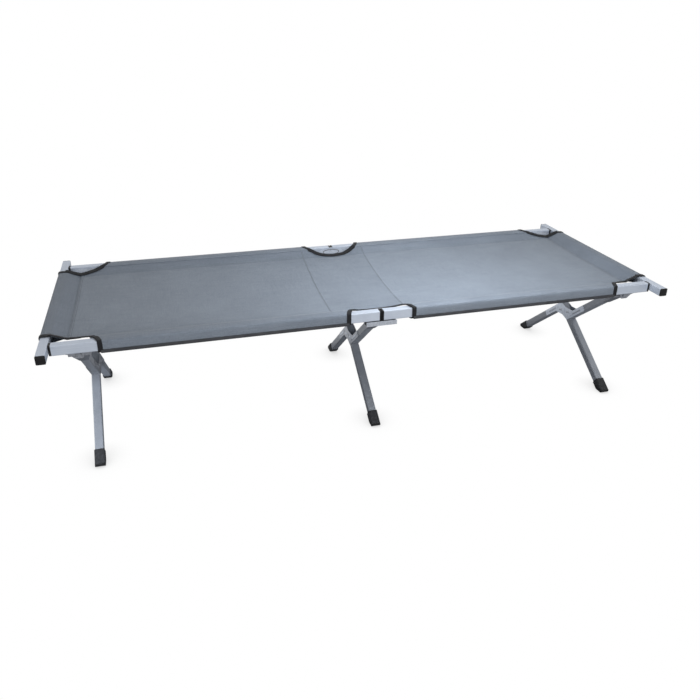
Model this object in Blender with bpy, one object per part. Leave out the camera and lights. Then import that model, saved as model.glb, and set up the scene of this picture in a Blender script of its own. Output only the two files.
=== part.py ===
"""Folding camp bed: two jointed side rails on three scissor leg sets, with a stretched cloth.

Metres, +Z up. X runs along the bed, Y across it, and the origin is on the floor under its middle.
"""
import math

import bmesh
import bpy
from mathutils import Matrix, Vector

# Overall sizes
LENGTH = 1.900
BAR_LENGTH = 0.760
RAIL_SPREAD = 0.650
RAIL_TOP = 0.419

# Tube sections
TUBE = 0.025
RAIL_HEIGHT = 0.030
TUBE_WALL = 0.0014
CORNER_RADIUS = 0.0025
CLEARANCE = 0.0003
JOIN = 0.001
THROUGH = 0.010

# Leg sets: how far in from the bed's ends and rails, how far under the rails, and the scissor across the bed
END_SET_INSET = 0.095
HINGE_INSET = 0.032
HINGE_DROP = 0.016
FOOT_Y = 0.290
OFFSET = 0.026
TUBE_START = 0.028

# Cross plates that join the two halves of the split leg
PLATE = 0.0014
PLATE_REACH = 0.128
PLATE_ARM = 0.0105
PLATE_KNEE = 0.054
PLATE_WAIST_U = 0.016
PLATE_WAIST_V = 0.010
PLATE_TIP = 0.004
PLATE_CORNER = 0.006
RIVET_NEAR = 0.038
RIVET_FAR = 0.116
RIVET_RADIUS = 0.0042
RIVET_HEIGHT = 0.0009
RIVET_SINK = 0.0005
RIVET_CROWN = 0.6
PIVOT_RADIUS = 0.004
PIVOT_HEAD_RADIUS = 0.0064
PIVOT_OVERLAP = 0.0001

# Hinges at the tops of the legs
PIN_RADIUS = 0.004
BARREL_RADIUS = 0.0070
HANGER_HALF = 0.030
EAR = 0.002
EAR_REACH = 0.008
EAR_STEPS = 8
SHEET = 0.0015
YOKE_LENGTH = 0.075
YOKE_CHEEK_START = 0.004
YOKE_CHEEK_WAIST = 0.041
YOKE_CHEEK_END = 0.0675
YOKE_SHOULDER_LAP = 0.0004
SHEET_CORNER = 0.003
PIN_PROUD = 0.001
TUBE_TOP = 0.009

# Joints in the middle of the side rails
FOLD_PIN_X = 0.041
FOLD_PIN_DROP = 0.007
FOLD_PIN_RADIUS = 0.0035
FOLD_PIN_PROUD = 0.0012
LUG_RADIUS = 0.0064
LUG_STEPS = 8
SPLIT_GAP = 0.003
JOINT_HEAD = 0.005
PLUG_DEPTH = 0.022
CENTRE_HALF = 0.0475
CENTRE_FLANGE = 0.014
ARCH_RISE = 0.020
ARCH_STEPS = 12

# Brackets at the rail ends
BRACKET_OUT = 0.058
BRACKET_IN = 0.034
BRACKET_RISE = 0.024
BRACKET_SHEET = 0.002
BRACKET_EYE = 0.0105
BRACKET_LIP = 0.004
BRACKET_TOE = 0.014
BRACKET_HEEL = 0.008
BRACKET_RIVETS = (0.044, 0.020, -0.022)
SWING_PIN_RADIUS = 0.0045
SWING_HEAD_RADIUS = 0.0065
SWING_HEAD_HEIGHT = 0.003
SWING_BOSS_RADIUS = 0.0085
HANGER_BACK = 0.0165
HANGER_HEIGHT = 0.0095

# Moulded parts
CAP_HEAD = 0.006
PEG_RADIUS = 0.005
PEG_LENGTH = 0.015
BAR_PLUG_HEAD = 0.003
BAR_PLUG_DEPTH = 0.015
FOOT_WALL = 0.0022
FOOT_SLEEVE = 0.022
FOOT_NOSE = 0.005
FOOT_SOLE = 0.003
FOOT_CORNER = 0.004
FOOT_CUT = 0.1

# Cloth: it comes down steeply beside each rail, then hangs in a shallow bowl
CLOTH = 0.0008
CLOTH_TUCK = 0.012
SEAM_INSET = 0.067
POCKET_WIDTH = 0.050
POCKET_DROP = 0.0185
SAG_END = 0.022
SAG_MIDDLE = 0.032
PANEL_ROWS = 5

# Cut-outs in the cloth: in from the bed's end, or out from its middle, and in from a rail's outer side
CORNER_NOTCH = ((0.024, 0.067), (0.067, 0.070), (0.100, 0.057),
                (0.124, 0.044), (0.143, 0.026), (0.153, 0.000))
MIDDLE_NOTCH = ((0.000, 0.060), (0.040, 0.055), (0.070, 0.041), (0.088, 0.023), (0.097, 0.000))
NOTCH_MARGIN = 0.020
NOTCH_HEIGHT = 0.2

BODY_NAME = "folding_camp_bed"


def rgb(red, green, blue):
    return (red, green, blue, 1.0)


FINISHES = {
    "aluminium": (rgb(0.56, 0.59, 0.64), 0.34, 1.0),
    "pressed_steel": (rgb(0.62, 0.65, 0.69), 0.38, 1.0),
    "black_nylon": (rgb(0.03, 0.03, 0.032), 0.5, 0.0),
    "cloth": (rgb(0.29, 0.33, 0.39), 0.9, 0.0),
}


def clear_scene():
    for old in list(bpy.data.objects):
        bpy.data.objects.remove(old, do_unlink=True)


def make_collection(name):
    collection = bpy.data.collections.new(name)
    bpy.context.scene.collection.children.link(collection)
    return collection


def finish_material(node_name, finish):
    colour, roughness, metallic = FINISHES[finish]
    material = bpy.data.materials.new(node_name + "_" + finish)
    material.use_nodes = True
    shader = material.node_tree.nodes["Principled BSDF"]
    shader.inputs["Base Color"].default_value = colour
    shader.inputs["Roughness"].default_value = roughness
    shader.inputs["Metallic"].default_value = metallic
    return material


clear_scene()
PARTS = make_collection(BODY_NAME)
CUTTERS = make_collection("cutters")


def new_object(name, mesh, matrix, collection):
    item = bpy.data.objects.new(name, mesh)
    item.matrix_world = matrix
    collection.objects.link(item)
    return item


def as_tool(item):
    """Cutters and joined pieces stay out of the render and out of the count of parts."""
    item.hide_render = True
    item.display_type = "WIRE"
    return item


def frame_at(origin, x_axis, y_axis):
    """A placement whose local X and Y run along two given directions."""
    x_dir = Vector(x_axis).normalized()
    z_dir = x_dir.cross(Vector(y_axis)).normalized()
    y_dir = z_dir.cross(x_dir)
    turn = Matrix((x_dir, y_dir, z_dir)).transposed().to_4x4()
    return Matrix.Translation(Vector(origin)) @ turn


def box_mesh(name, low, high):
    shape = bmesh.new()
    bmesh.ops.create_cube(shape, size=1.0)
    low, high = Vector(low), Vector(high)
    size = high - low
    bmesh.ops.scale(shape, vec=size, verts=shape.verts)
    bmesh.ops.translate(shape, vec=(low + high) / 2, verts=shape.verts)
    mesh = bpy.data.meshes.new(name)
    shape.to_mesh(mesh)
    shape.free()
    return mesh


def box(name, low, high, matrix=Matrix.Identity(4), collection=None):
    return new_object(name, box_mesh(name, low, high), matrix, collection or CUTTERS)


def rod(name, start, end, radius, sides=16, end_radius=None, collection=None):
    """A cylinder or a cone frustum between two points."""
    start, end = Vector(start), Vector(end)
    shape = bmesh.new()
    bmesh.ops.create_cone(shape, cap_ends=True, segments=sides, radius1=radius,
                          radius2=radius if end_radius is None else end_radius, depth=(end - start).length)
    mesh = bpy.data.meshes.new(name)
    shape.to_mesh(mesh)
    shape.free()
    turn = (end - start).to_track_quat("Z", "Y").to_matrix().to_4x4()
    return new_object(name, mesh, Matrix.Translation((start + end) / 2) @ turn, collection or CUTTERS)


def rounded_loop(points, radius, steps=2):
    """A polygon with every corner turned into an arc of the given radius."""
    loop = []
    count = len(points)
    for index in range(count):
        corner = Vector(points[index])
        before = (Vector(points[index - 1]) - corner).normalized()
        after = (Vector(points[(index + 1) % count]) - corner).normalized()
        half = before.angle(after) / 2
        reach = radius / math.tan(half)
        centre = corner + (before + after).normalized() * (radius / math.sin(half))
        first = corner + before * reach - centre
        last = corner + after * reach - centre
        sweep = first.angle_signed(last)
        for step in range(steps + 1):
            loop.append(centre + Matrix.Rotation(-sweep * step / steps, 2) @ first)
    return loop


def rectangle(width, height):
    half_width, half_height = width / 2, height / 2
    return [(-half_width, -half_height), (half_width, -half_height), (half_width, half_height),
            (-half_width, half_height)]


def circle_loop(centre, radius, sides=16):
    angles = [2 * math.pi * index / sides for index in range(sides)]
    return [(centre[0] + radius * math.cos(a), centre[1] + radius * math.sin(a)) for a in angles]


def solid_from_loops(name, loops, depth, matrix, collection=None):
    """A flat outline, with any further loops as holes, extruded evenly about its own plane."""
    curve = bpy.data.curves.new(name + "_outline", "CURVE")
    curve.dimensions = "2D"
    curve.fill_mode = "BOTH"
    curve.extrude = depth / 2
    for loop in loops:
        spline = curve.splines.new("POLY")
        spline.points.add(len(loop) - 1)
        for point, place in zip(spline.points, loop):
            point.co = (place[0], place[1], 0.0, 1.0)
        spline.use_cyclic_u = True
    return solid_from_curve(name, curve, matrix, collection or CUTTERS)


def solid_from_curve(name, curve, matrix, collection):
    """The closed mesh of a filled curve, welded at its caps."""
    holder = new_object(name + "_curve", curve, Matrix.Identity(4), CUTTERS)
    bpy.context.view_layer.update()
    evaluated = holder.evaluated_get(bpy.context.evaluated_depsgraph_get())
    mesh = bpy.data.meshes.new_from_object(evaluated)
    shape = bmesh.new()
    shape.from_mesh(mesh)
    bmesh.ops.remove_doubles(shape, verts=shape.verts, dist=1e-6)
    bmesh.ops.recalc_face_normals(shape, faces=shape.faces)
    shape.to_mesh(mesh)
    shape.free()
    mesh.name = name
    bpy.data.objects.remove(holder, do_unlink=True)
    return new_object(name, mesh, matrix, collection)


def smooth_outline_solid(name, points, depth, matrix):
    """A closed Bezier outline through a few points, extruded as a cutter."""
    curve = bpy.data.curves.new(name + "_outline", "CURVE")
    curve.dimensions = "2D"
    curve.fill_mode = "BOTH"
    curve.extrude = depth / 2
    curve.resolution_u = 5
    spline = curve.splines.new("BEZIER")
    spline.bezier_points.add(len(points) - 1)
    for knot, (x, y, kind) in zip(spline.bezier_points, points):
        knot.co = (x, y, 0.0)
        knot.handle_left_type = kind
        knot.handle_right_type = kind
    spline.use_cyclic_u = True
    return as_tool(solid_from_curve(name, curve, matrix, CUTTERS))


def boolean(target, tool, operation):
    as_tool(tool)
    modifier = target.modifiers.new(operation.lower() + "_" + tool.name, "BOOLEAN")
    modifier.operation = operation
    modifier.object = tool
    modifier.solver = "EXACT"


def add(target, *tools):
    for tool in tools:
        boolean(target, tool, "UNION")


def cut(target, *tools):
    for tool in tools:
        boolean(target, tool, "DIFFERENCE")


def part(item, name, finish):
    """Names a finished piece, gives it its own material and files it with the parts."""
    item.name = name
    item.data.name = name
    item.data.materials.clear()
    item.data.materials.append(finish_material(name, finish))
    for collection in list(item.users_collection):
        collection.objects.unlink(item)
    PARTS.objects.link(item)
    item.data.shade_smooth()
    item.data.set_sharp_from_angle(angle=math.radians(35))
    return item


def tube(name, start, end, across, width, height, collection=None):
    """A rounded rectangular tube; its width lies along the given direction."""
    start, end = Vector(start), Vector(end)
    run = (end - start).normalized()
    matrix = frame_at((start + end) / 2, across, run.cross(Vector(across)))
    outer = rounded_loop(rectangle(width, height), CORNER_RADIUS)
    inner_corner = CORNER_RADIUS - TUBE_WALL
    inner = rounded_loop(rectangle(width - 2 * TUBE_WALL, height - 2 * TUBE_WALL), inner_corner, steps=2)
    return solid_from_loops(name, [outer, inner], (end - start).length, matrix, collection)


def bar_block(name, start, end, across, width, height):
    """A solid rounded block between two points, for plugs and cap heads."""
    start, end = Vector(start), Vector(end)
    run = (end - start).normalized()
    matrix = frame_at((start + end) / 2, across, run.cross(Vector(across)))
    return solid_from_loops(name, [rounded_loop(rectangle(width, height), CORNER_RADIUS)],
                            (end - start).length, matrix)


# Places worked out from the driving sizes
RAIL_Y = (RAIL_SPREAD - TUBE) / 2
RAIL_INNER_Y = RAIL_SPREAD / 2 - TUBE
RAIL_Z = RAIL_TOP - RAIL_HEIGHT / 2
RAIL_BOTTOM = RAIL_TOP - RAIL_HEIGHT
BAR_X = (LENGTH - TUBE) / 2
BAR_FACE_X = LENGTH / 2 - TUBE
BAR_Z = RAIL_TOP - TUBE / 2
BORE = TUBE - 2 * TUBE_WALL - 2 * CLEARANCE
BORE_HEIGHT = RAIL_HEIGHT - 2 * TUBE_WALL - 2 * CLEARANCE
END_SET_X = LENGTH / 2 - END_SET_INSET
SEAM_X = LENGTH / 2 - SEAM_INSET
POCKET_Y = RAIL_INNER_Y - POCKET_WIDTH
HINGE_Y = RAIL_INNER_Y - HINGE_INSET
HINGE_Z = RAIL_BOTTOM - HINGE_DROP
FOLD_PIN_Z = RAIL_BOTTOM - FOLD_PIN_DROP
JOINT_FACE_X = SPLIT_GAP / 2
RAIL_START_X = JOINT_FACE_X + JOINT_HEAD + CLEARANCE
RAIL_END_X = BAR_FACE_X - CAP_HEAD - 2 * CLEARANCE
CROSS_Z = HINGE_Z * FOOT_Y / (HINGE_Y + FOOT_Y)
LINK_LENGTH = math.hypot(HINGE_Y, HINGE_Z - CROSS_Z)
STRAIGHT_ANGLE = math.atan2(HINGE_Z - CROSS_Z, HINGE_Y)
SPLIT_ANGLE = STRAIGHT_ANGLE + math.asin(OFFSET / LINK_LENGTH)
PLATE_FACE = TUBE / 2 + CLEARANCE
SPLIT_DOWN = Vector((0.0, math.cos(SPLIT_ANGLE), -math.sin(SPLIT_ANGLE)))
SPLIT_UP = Vector((0.0, math.sin(SPLIT_ANGLE), math.cos(SPLIT_ANGLE)))
STRAIGHT_DOWN = Vector((0.0, -math.cos(STRAIGHT_ANGLE), -math.sin(STRAIGHT_ANGLE)))
X_AXIS = Vector((1.0, 0.0, 0.0))
CLOTH_BOTTOM = RAIL_TOP + CLEARANCE

SIDES = {"near": -1, "far": 1}
ENDS = {"left": -1, "right": 1}
SETS = {"left": -END_SET_X, "middle": 0.0, "right": END_SET_X}


def side_rail(side, end):
    """One half of a side rail, open at both ends for its plugs."""
    y = SIDES[side] * RAIL_Y
    start = (ENDS[end] * RAIL_START_X, y, RAIL_Z)
    stop = (ENDS[end] * RAIL_END_X, y, RAIL_Z)
    part(tube("rail", start, stop, (0, 1, 0), TUBE, RAIL_HEIGHT), f"{side}_rail_{end}", "aluminium")


def joint_plug(side, end):
    """The moulded plug at the rail's middle joint: a head, a plug in the tube, and a lug under the rail."""
    sign = ENDS[end]
    y = SIDES[side] * RAIL_Y
    face = sign * JOINT_FACE_X
    head_end = sign * (JOINT_FACE_X + JOINT_HEAD)
    plug = bar_block("head", (face, y, RAIL_Z), (head_end, y, RAIL_Z), (0, 1, 0), TUBE, RAIL_HEIGHT)
    inner_start = (head_end - sign * JOIN, y, RAIL_Z)
    inner_end = (head_end + sign * PLUG_DEPTH, y, RAIL_Z)
    inner = bar_block("inner", inner_start, inner_end, (0, 1, 0), BORE, BORE_HEIGHT)
    lug_start = JOINT_FACE_X + CLEARANCE
    web_end = JOINT_FACE_X + JOINT_HEAD - CLEARANCE
    outline = [(lug_start, RAIL_Z), (lug_start, FOLD_PIN_Z - LUG_RADIUS)]
    for step in range(LUG_STEPS + 1):
        angle = math.pi * (step / LUG_STEPS - 0.5)
        outline.append((FOLD_PIN_X + LUG_RADIUS * math.cos(angle), FOLD_PIN_Z + LUG_RADIUS * math.sin(angle)))
    outline += [(web_end, FOLD_PIN_Z + LUG_RADIUS), (web_end, RAIL_Z)]
    bore = circle_loop((FOLD_PIN_X, FOLD_PIN_Z), FOLD_PIN_RADIUS + CLEARANCE)
    loops = [[(sign * x, z) for x, z in loop] for loop in (outline, bore)]
    lug = solid_from_loops("lug", loops, TUBE - 4 * CLEARANCE, frame_at((0, y, 0), (1, 0, 0), (0, 0, 1)))
    add(plug, inner, lug)
    part(plug, f"{side}_joint_plug_{end}", "black_nylon")


def outer_cap(side, end):
    """The plug that closes a rail against the end bar; the near ones carry a peg that enters the bar."""
    sign = ENDS[end]
    y = SIDES[side] * RAIL_Y
    outer = sign * (BAR_FACE_X - CLEARANCE)
    seat = sign * (BAR_FACE_X - CLEARANCE - CAP_HEAD)
    cap = bar_block("head", (outer, y, RAIL_Z), (seat, y, RAIL_Z), (0, 1, 0), TUBE, RAIL_HEIGHT)
    inner = bar_block("inner", (seat + sign * JOIN, y, RAIL_Z), (seat - sign * PLUG_DEPTH, y, RAIL_Z),
                      (0, 1, 0), BORE, BORE_HEIGHT)
    add(cap, inner)
    if side == "near":
        peg_start = (outer - sign * JOIN, y, BAR_Z)
        add(cap, rod("peg", peg_start, (outer + sign * PEG_LENGTH, y, BAR_Z), PEG_RADIUS))
    part(cap, f"{side}_end_cap_{end}", "black_nylon")


def end_bar(end, name):
    """The square cross bar that spreads the cloth, with holes for the near caps' pegs."""
    sign = ENDS[end]
    reach = BAR_LENGTH / 2 - BAR_PLUG_HEAD
    x = sign * BAR_X
    bar = tube("bar", (x, -reach, BAR_Z), (x, reach, BAR_Z), (1, 0, 0), TUBE, TUBE)
    for y_sign in (-1, 1):
        y = y_sign * RAIL_Y
        hole_start = (sign * (BAR_FACE_X - THROUGH), y, BAR_Z)
        cut(bar, rod("peg_hole", hole_start, (x, y, BAR_Z), PEG_RADIUS + 2 * CLEARANCE))
    part(bar, name, "aluminium")


def bar_plug(side, end, name):
    """The black plug in the open end of an end bar."""
    x = ENDS[end] * BAR_X
    sign = SIDES[side]
    seat = sign * (BAR_LENGTH / 2 - BAR_PLUG_HEAD + CLEARANCE)
    plug = bar_block("head", (x, sign * BAR_LENGTH / 2, BAR_Z), (x, seat, BAR_Z), (1, 0, 0), TUBE, TUBE)
    inner = bar_block("inner", (x, seat + sign * JOIN, BAR_Z), (x, seat - sign * BAR_PLUG_DEPTH, BAR_Z),
                      (1, 0, 0), BORE, BORE)
    add(plug, inner)
    part(plug, name, "black_nylon")


def hinge_ears(owner, x, sign, back_y):
    """Two ears across the bed's length and the pin between them, on which the top of a leg turns."""
    tip = sign * HINGE_Y
    outline = [(back_y, EAR_REACH), (back_y, -EAR_REACH)]
    for step in range(EAR_STEPS + 1):
        angle = math.pi * (step / EAR_STEPS - 0.5)
        outline.append((tip - sign * EAR_REACH * math.cos(angle), EAR_REACH * math.sin(angle)))
    for ear_x in (x - HANGER_HALF + EAR / 2, x + HANGER_HALF - EAR / 2):
        add(owner, solid_from_loops("ear", [outline], EAR, frame_at((ear_x, 0, HINGE_Z), (0, 1, 0), (0, 0, 1))))
    half = HANGER_HALF + PIN_PROUD
    add(owner, rod("hinge_pin", (x - half, tip, HINGE_Z), (x + half, tip, HINGE_Z), PIN_RADIUS))


def centre_bracket(side):
    """The pressed channel under the rail joint: an arched inner wall, both fold pins and the leg's ears."""
    sign = SIDES[side]
    inner_face = sign * (RAIL_INNER_Y - CLEARANCE)
    outer_face = sign * (RAIL_SPREAD / 2 + CLEARANCE)
    base_top = FOLD_PIN_Z - LUG_RADIUS - CLEARANCE
    base_bottom = base_top - SHEET
    arch_top = RAIL_TOP - 2 * CLEARANCE
    shoulder = arch_top - ARCH_RISE
    arch = [(-CENTRE_HALF, base_bottom - SHEET), (CENTRE_HALF, base_bottom - SHEET)]
    for step in range(ARCH_STEPS + 1):
        angle = math.pi * step / ARCH_STEPS
        arch.append((CENTRE_HALF * math.cos(angle), shoulder + ARCH_RISE * math.sin(angle)))
    wall_y = inner_face - sign * SHEET / 2
    inner_back = inner_face - sign * SHEET
    outer_back = outer_face + sign * SHEET
    flange_top = base_bottom + CENTRE_FLANGE
    channel = [(inner_back, arch_top + SHEET), (inner_back, base_bottom), (outer_back, base_bottom),
               (outer_back, flange_top), (outer_face, flange_top), (outer_face, base_top),
               (inner_face, base_top), (inner_face, arch_top + SHEET)]
    across = frame_at((0, 0, 0), (0, 1, 0), (0, 0, 1))
    bracket = solid_from_loops("channel", [channel], 2 * CENTRE_HALF + SHEET, across)
    profile = solid_from_loops("arch", [arch], 4 * RAIL_SPREAD, frame_at((0, 0, 0), (1, 0, 0), (0, 0, 1)))
    boolean(bracket, profile, "INTERSECT")
    low_y, high_y = sorted((inner_back, outer_back))
    for pin_x in (-FOLD_PIN_X, FOLD_PIN_X):
        add(bracket, rod("fold_pin", (pin_x, low_y - FOLD_PIN_PROUD, FOLD_PIN_Z),
                         (pin_x, high_y + FOLD_PIN_PROUD, FOLD_PIN_Z), FOLD_PIN_RADIUS))
    hinge_ears(bracket, 0.0, sign, wall_y)
    part(bracket, f"{side}_centre_bracket", "pressed_steel")


def rivet_head(place, outward):
    """A low domed rivet head that stands on a sheet and is sunk a little into it."""
    return rod("rivet", place - outward * RIVET_SINK, place + outward * RIVET_HEIGHT, RIVET_RADIUS,
               sides=12, end_radius=RIVET_RADIUS * RIVET_CROWN)


def end_bracket(side, end):
    """The pressed plate on the rail's inner face that carries the swing pin of an end leg set."""
    sign = SIDES[side]
    out = ENDS[end]
    x = out * END_SET_X
    inner_face = sign * (RAIL_INNER_Y - CLEARANCE)
    low = HINGE_Z - BRACKET_EYE
    top = RAIL_BOTTOM + BRACKET_RISE
    outline = [(x - out * BRACKET_IN, top), (x + out * BRACKET_OUT, top),
               (x + out * BRACKET_OUT, RAIL_BOTTOM - BRACKET_LIP),
               (x + out * (BRACKET_EYE + BRACKET_TOE), HINGE_Z + BRACKET_SHEET),
               (x + out * BRACKET_EYE, low), (x - out * BRACKET_EYE, low),
               (x - out * (BRACKET_EYE + BRACKET_HEEL), RAIL_BOTTOM - 2 * SHEET_CORNER),
               (x - out * BRACKET_IN, RAIL_BOTTOM - JOIN)]
    wall_y = inner_face - sign * BRACKET_SHEET / 2
    plate = solid_from_loops("plate", [rounded_loop(outline, SHEET_CORNER)], BRACKET_SHEET,
                             frame_at((0, wall_y, 0), (1, 0, 0), (0, 0, 1)))
    boss_end = sign * (HINGE_Y + HANGER_BACK + EAR + 2 * CLEARANCE)
    add(plate, rod("boss", (x, boss_end, HINGE_Z), (x, wall_y, HINGE_Z), SWING_BOSS_RADIUS))
    cut(plate, rod("bore", (x, boss_end - sign * THROUGH, HINGE_Z), (x, inner_face + sign * THROUGH, HINGE_Z),
                   SWING_PIN_RADIUS + CLEARANCE))
    head_y = inner_face - sign * BRACKET_SHEET
    for rivet in BRACKET_RIVETS:
        place = Vector((x + out * rivet, head_y, RAIL_Z))
        add(plate, rivet_head(place, Vector((0, -sign, 0))))
    part(plate, f"{side}_end_bracket_{end}", "pressed_steel")


def hanger(side, end):
    """The yoke that swings under an end bracket and carries the leg's hinge pin."""
    sign = SIDES[side]
    x = ENDS[end] * END_SET_X
    back = sign * (HINGE_Y + HANGER_BACK)
    back_outer = back + sign * EAR
    low_y, high_y = sorted((back, back_outer))
    yoke = box("back", (x - HANGER_HALF, low_y, HINGE_Z - HANGER_HEIGHT),
               (x + HANGER_HALF, high_y, HINGE_Z + HANGER_HEIGHT))
    hinge_ears(yoke, x, sign, back + sign * EAR / 2)
    pin_end = sign * (RAIL_INNER_Y + CLEARANCE)
    add(yoke, rod("swing_pin", (x, back + sign * EAR / 2, HINGE_Z), (x, pin_end + sign * JOIN, HINGE_Z),
                  SWING_PIN_RADIUS))
    add(yoke, rod("swing_head", (x, pin_end, HINGE_Z), (x, pin_end + sign * SWING_HEAD_HEIGHT, HINGE_Z),
                  SWING_HEAD_RADIUS))
    part(yoke, f"{side}_hanger_{end}", "pressed_steel")


def leg_yoke(name, x, side, down):
    """The pressed bracket on the top of a leg: a barrel on the pin, two cheeks and a tapering plate."""
    hinge = Vector((x, SIDES[side] * HINGE_Y, HINGE_Z))
    under = X_AXIS.cross(down)
    if under.z > 0:
        under = -under
    barrel_half = HANGER_HALF - EAR - 2 * CLEARANCE
    barrel = rod("barrel", hinge - X_AXIS * barrel_half, hinge + X_AXIS * barrel_half, BARREL_RADIUS)
    plate_level = PLATE_FACE + SHEET / 2
    top_u = -BARREL_RADIUS + SHEET
    wing = [(top_u, -barrel_half), (YOKE_LENGTH, -TUBE / 2), (YOKE_LENGTH, TUBE / 2), (top_u, barrel_half)]
    plate = solid_from_loops("wing", [rounded_loop(wing, SHEET_CORNER)], SHEET,
                             frame_at(hinge + under * plate_level, down, X_AXIS))
    shoulder = [(-SHEET, -barrel_half), (plate_level + SHEET / 2, -barrel_half),
                (plate_level + SHEET / 2, barrel_half), (-SHEET, barrel_half)]
    shoulder_at = hinge + down * (top_u - SHEET / 2 + YOKE_SHOULDER_LAP)
    back = solid_from_loops("shoulder", [shoulder], SHEET, frame_at(shoulder_at, under, X_AXIS))
    add(plate, back, barrel)
    cheek = [(YOKE_CHEEK_START, -BARREL_RADIUS), (YOKE_CHEEK_WAIST, -TUBE / 2 + YOKE_CHEEK_START),
             (YOKE_CHEEK_END, plate_level), (YOKE_CHEEK_START, plate_level)]
    for w in (-1, 1):
        place = hinge + X_AXIS * (w * (PLATE_FACE + SHEET / 2))
        add(plate, solid_from_loops("cheek", [cheek], SHEET, frame_at(place, down, under)))
    bore_half = X_AXIS * (barrel_half + THROUGH)
    bore = rod("bore", hinge - bore_half, hinge + bore_half, PIN_RADIUS + CLEARANCE)
    cut(plate, bore)
    part(plate, name, "pressed_steel")


def floor_distance(angle, half_depth):
    """How far up its axis a leg's square end has to stop for its lower corner to clear the foot's sole."""
    return (FOOT_SOLE + half_depth * math.cos(angle)) / math.sin(angle)


def foot(name, axis_point, up, angle):
    """The moulded foot: a square sleeve on the leg's end, cut flat where it stands on the floor."""
    half = TUBE / 2 + CLEARANCE + FOOT_WALL
    tube_end = floor_distance(angle, TUBE / 2)
    top = axis_point + up * (tube_end + FOOT_SLEEVE)
    tip = axis_point - up * FOOT_NOSE
    matrix = frame_at((top + tip) / 2, X_AXIS, up.cross(X_AXIS))
    outline = rounded_loop(rectangle(2 * half, 2 * half), FOOT_CORNER)
    boot = solid_from_loops("boot", [outline], (top - tip).length, matrix)
    pocket_start = axis_point + up * (tube_end - CLEARANCE)
    pocket = box("pocket", (-TUBE / 2 - CLEARANCE, -TUBE / 2 - CLEARANCE, 0.0),
                 (TUBE / 2 + CLEARANCE, TUBE / 2 + CLEARANCE, FOOT_CUT),
                 frame_at(pocket_start, X_AXIS, up.cross(X_AXIS)))
    ground = box("ground", (-2 * half, -FOOT_CUT, -FOOT_CUT), (2 * half, FOOT_CUT, 0.0),
                 Matrix.Translation(axis_point))
    cut(boot, pocket, ground)
    part(boot, name, "black_nylon")


def cross_plate_loop():
    """The Z outline, alike about its centre, in the split leg's own directions."""
    arm_low = OFFSET - PLATE_ARM
    arm_high = OFFSET + PLATE_ARM
    half = [(PLATE_REACH, arm_high), (PLATE_REACH, arm_low), (PLATE_KNEE, arm_low),
            (PLATE_WAIST_U, -PLATE_WAIST_V), (-PLATE_TIP, -arm_high)]
    return half + [(-u, -v) for u, v in half]


def cross_plate(name, cross, x_sign, with_pivot):
    """One of the two pressed plates that join the halves of the split leg around the straight one."""
    face_x = x_sign * (PLATE_FACE + PLATE / 2)
    matrix = frame_at(cross + X_AXIS * face_x, SPLIT_DOWN, SPLIT_UP)
    loops = [rounded_loop(cross_plate_loop(), PLATE_CORNER)]
    if not with_pivot:
        loops.append(circle_loop((0, 0), PIVOT_RADIUS + CLEARANCE))
    plate = solid_from_loops("plate", loops, PLATE, matrix)
    outer = x_sign * (PLATE_FACE + PLATE)
    for u in (RIVET_NEAR, RIVET_FAR, -RIVET_NEAR, -RIVET_FAR):
        v = math.copysign(OFFSET, u)
        place = cross + SPLIT_DOWN * u + SPLIT_UP * v
        add(plate, rivet_head(place + X_AXIS * outer, X_AXIS * x_sign))
    if with_pivot:
        far_end = -x_sign * (PLATE_FACE + PLATE + CLEARANCE)
        add(plate, rod("pivot", cross + X_AXIS * (outer + x_sign * RIVET_HEIGHT),
                       cross + X_AXIS * (far_end - x_sign * PIVOT_OVERLAP), PIVOT_RADIUS))
        add(plate, rod("pivot_head", cross + X_AXIS * far_end,
                       cross + X_AXIS * (far_end - x_sign * (RIVET_HEIGHT - CLEARANCE)), PIVOT_HEAD_RADIUS))
    part(plate, name, "pressed_steel")


def leg_set(label):
    """A scissor across the bed: the straight leg, the split leg, its plates, feet and top brackets."""
    x = SETS[label]
    cross = Vector((x, 0.0, CROSS_Z))
    far_hinge = Vector((x, HINGE_Y, HINGE_Z))
    near_foot = Vector((x, -FOOT_Y, 0.0))
    straight_end = near_foot - STRAIGHT_DOWN * floor_distance(STRAIGHT_ANGLE, TUBE / 2)
    straight = tube("straight", far_hinge + STRAIGHT_DOWN * TUBE_TOP, straight_end, X_AXIS, TUBE, TUBE)
    cut(straight, rod("pivot_hole", cross - X_AXIS * TUBE, cross + X_AXIS * TUBE, PIVOT_RADIUS + CLEARANCE))
    part(straight, f"{label}_straight_leg", "aluminium")
    near_hinge = Vector((x, -HINGE_Y, HINGE_Z))
    upper_end = cross - SPLIT_UP * OFFSET - SPLIT_DOWN * TUBE_START
    part(tube("upper", near_hinge + SPLIT_DOWN * TUBE_TOP, upper_end, X_AXIS, TUBE, TUBE),
         f"{label}_split_leg_upper", "aluminium")
    lower_axis = cross + SPLIT_UP * OFFSET
    far_foot = lower_axis + SPLIT_DOWN * (lower_axis.z / math.sin(SPLIT_ANGLE))
    lower_end = far_foot - SPLIT_DOWN * floor_distance(SPLIT_ANGLE, TUBE / 2)
    part(tube("lower", lower_axis + SPLIT_DOWN * TUBE_START, lower_end, X_AXIS, TUBE, TUBE),
         f"{label}_split_leg_lower", "aluminium")
    cross_plate(f"{label}_cross_plate_a", cross, -1, with_pivot=False)
    cross_plate(f"{label}_cross_plate_b", cross, 1, with_pivot=True)
    foot(f"{label}_near_foot", near_foot, -STRAIGHT_DOWN, STRAIGHT_ANGLE)
    foot(f"{label}_far_foot", far_foot, -SPLIT_DOWN, SPLIT_ANGLE)
    leg_yoke(f"{label}_far_leg_yoke", x, "far", STRAIGHT_DOWN)
    leg_yoke(f"{label}_near_leg_yoke", x, "near", SPLIT_DOWN)


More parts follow.
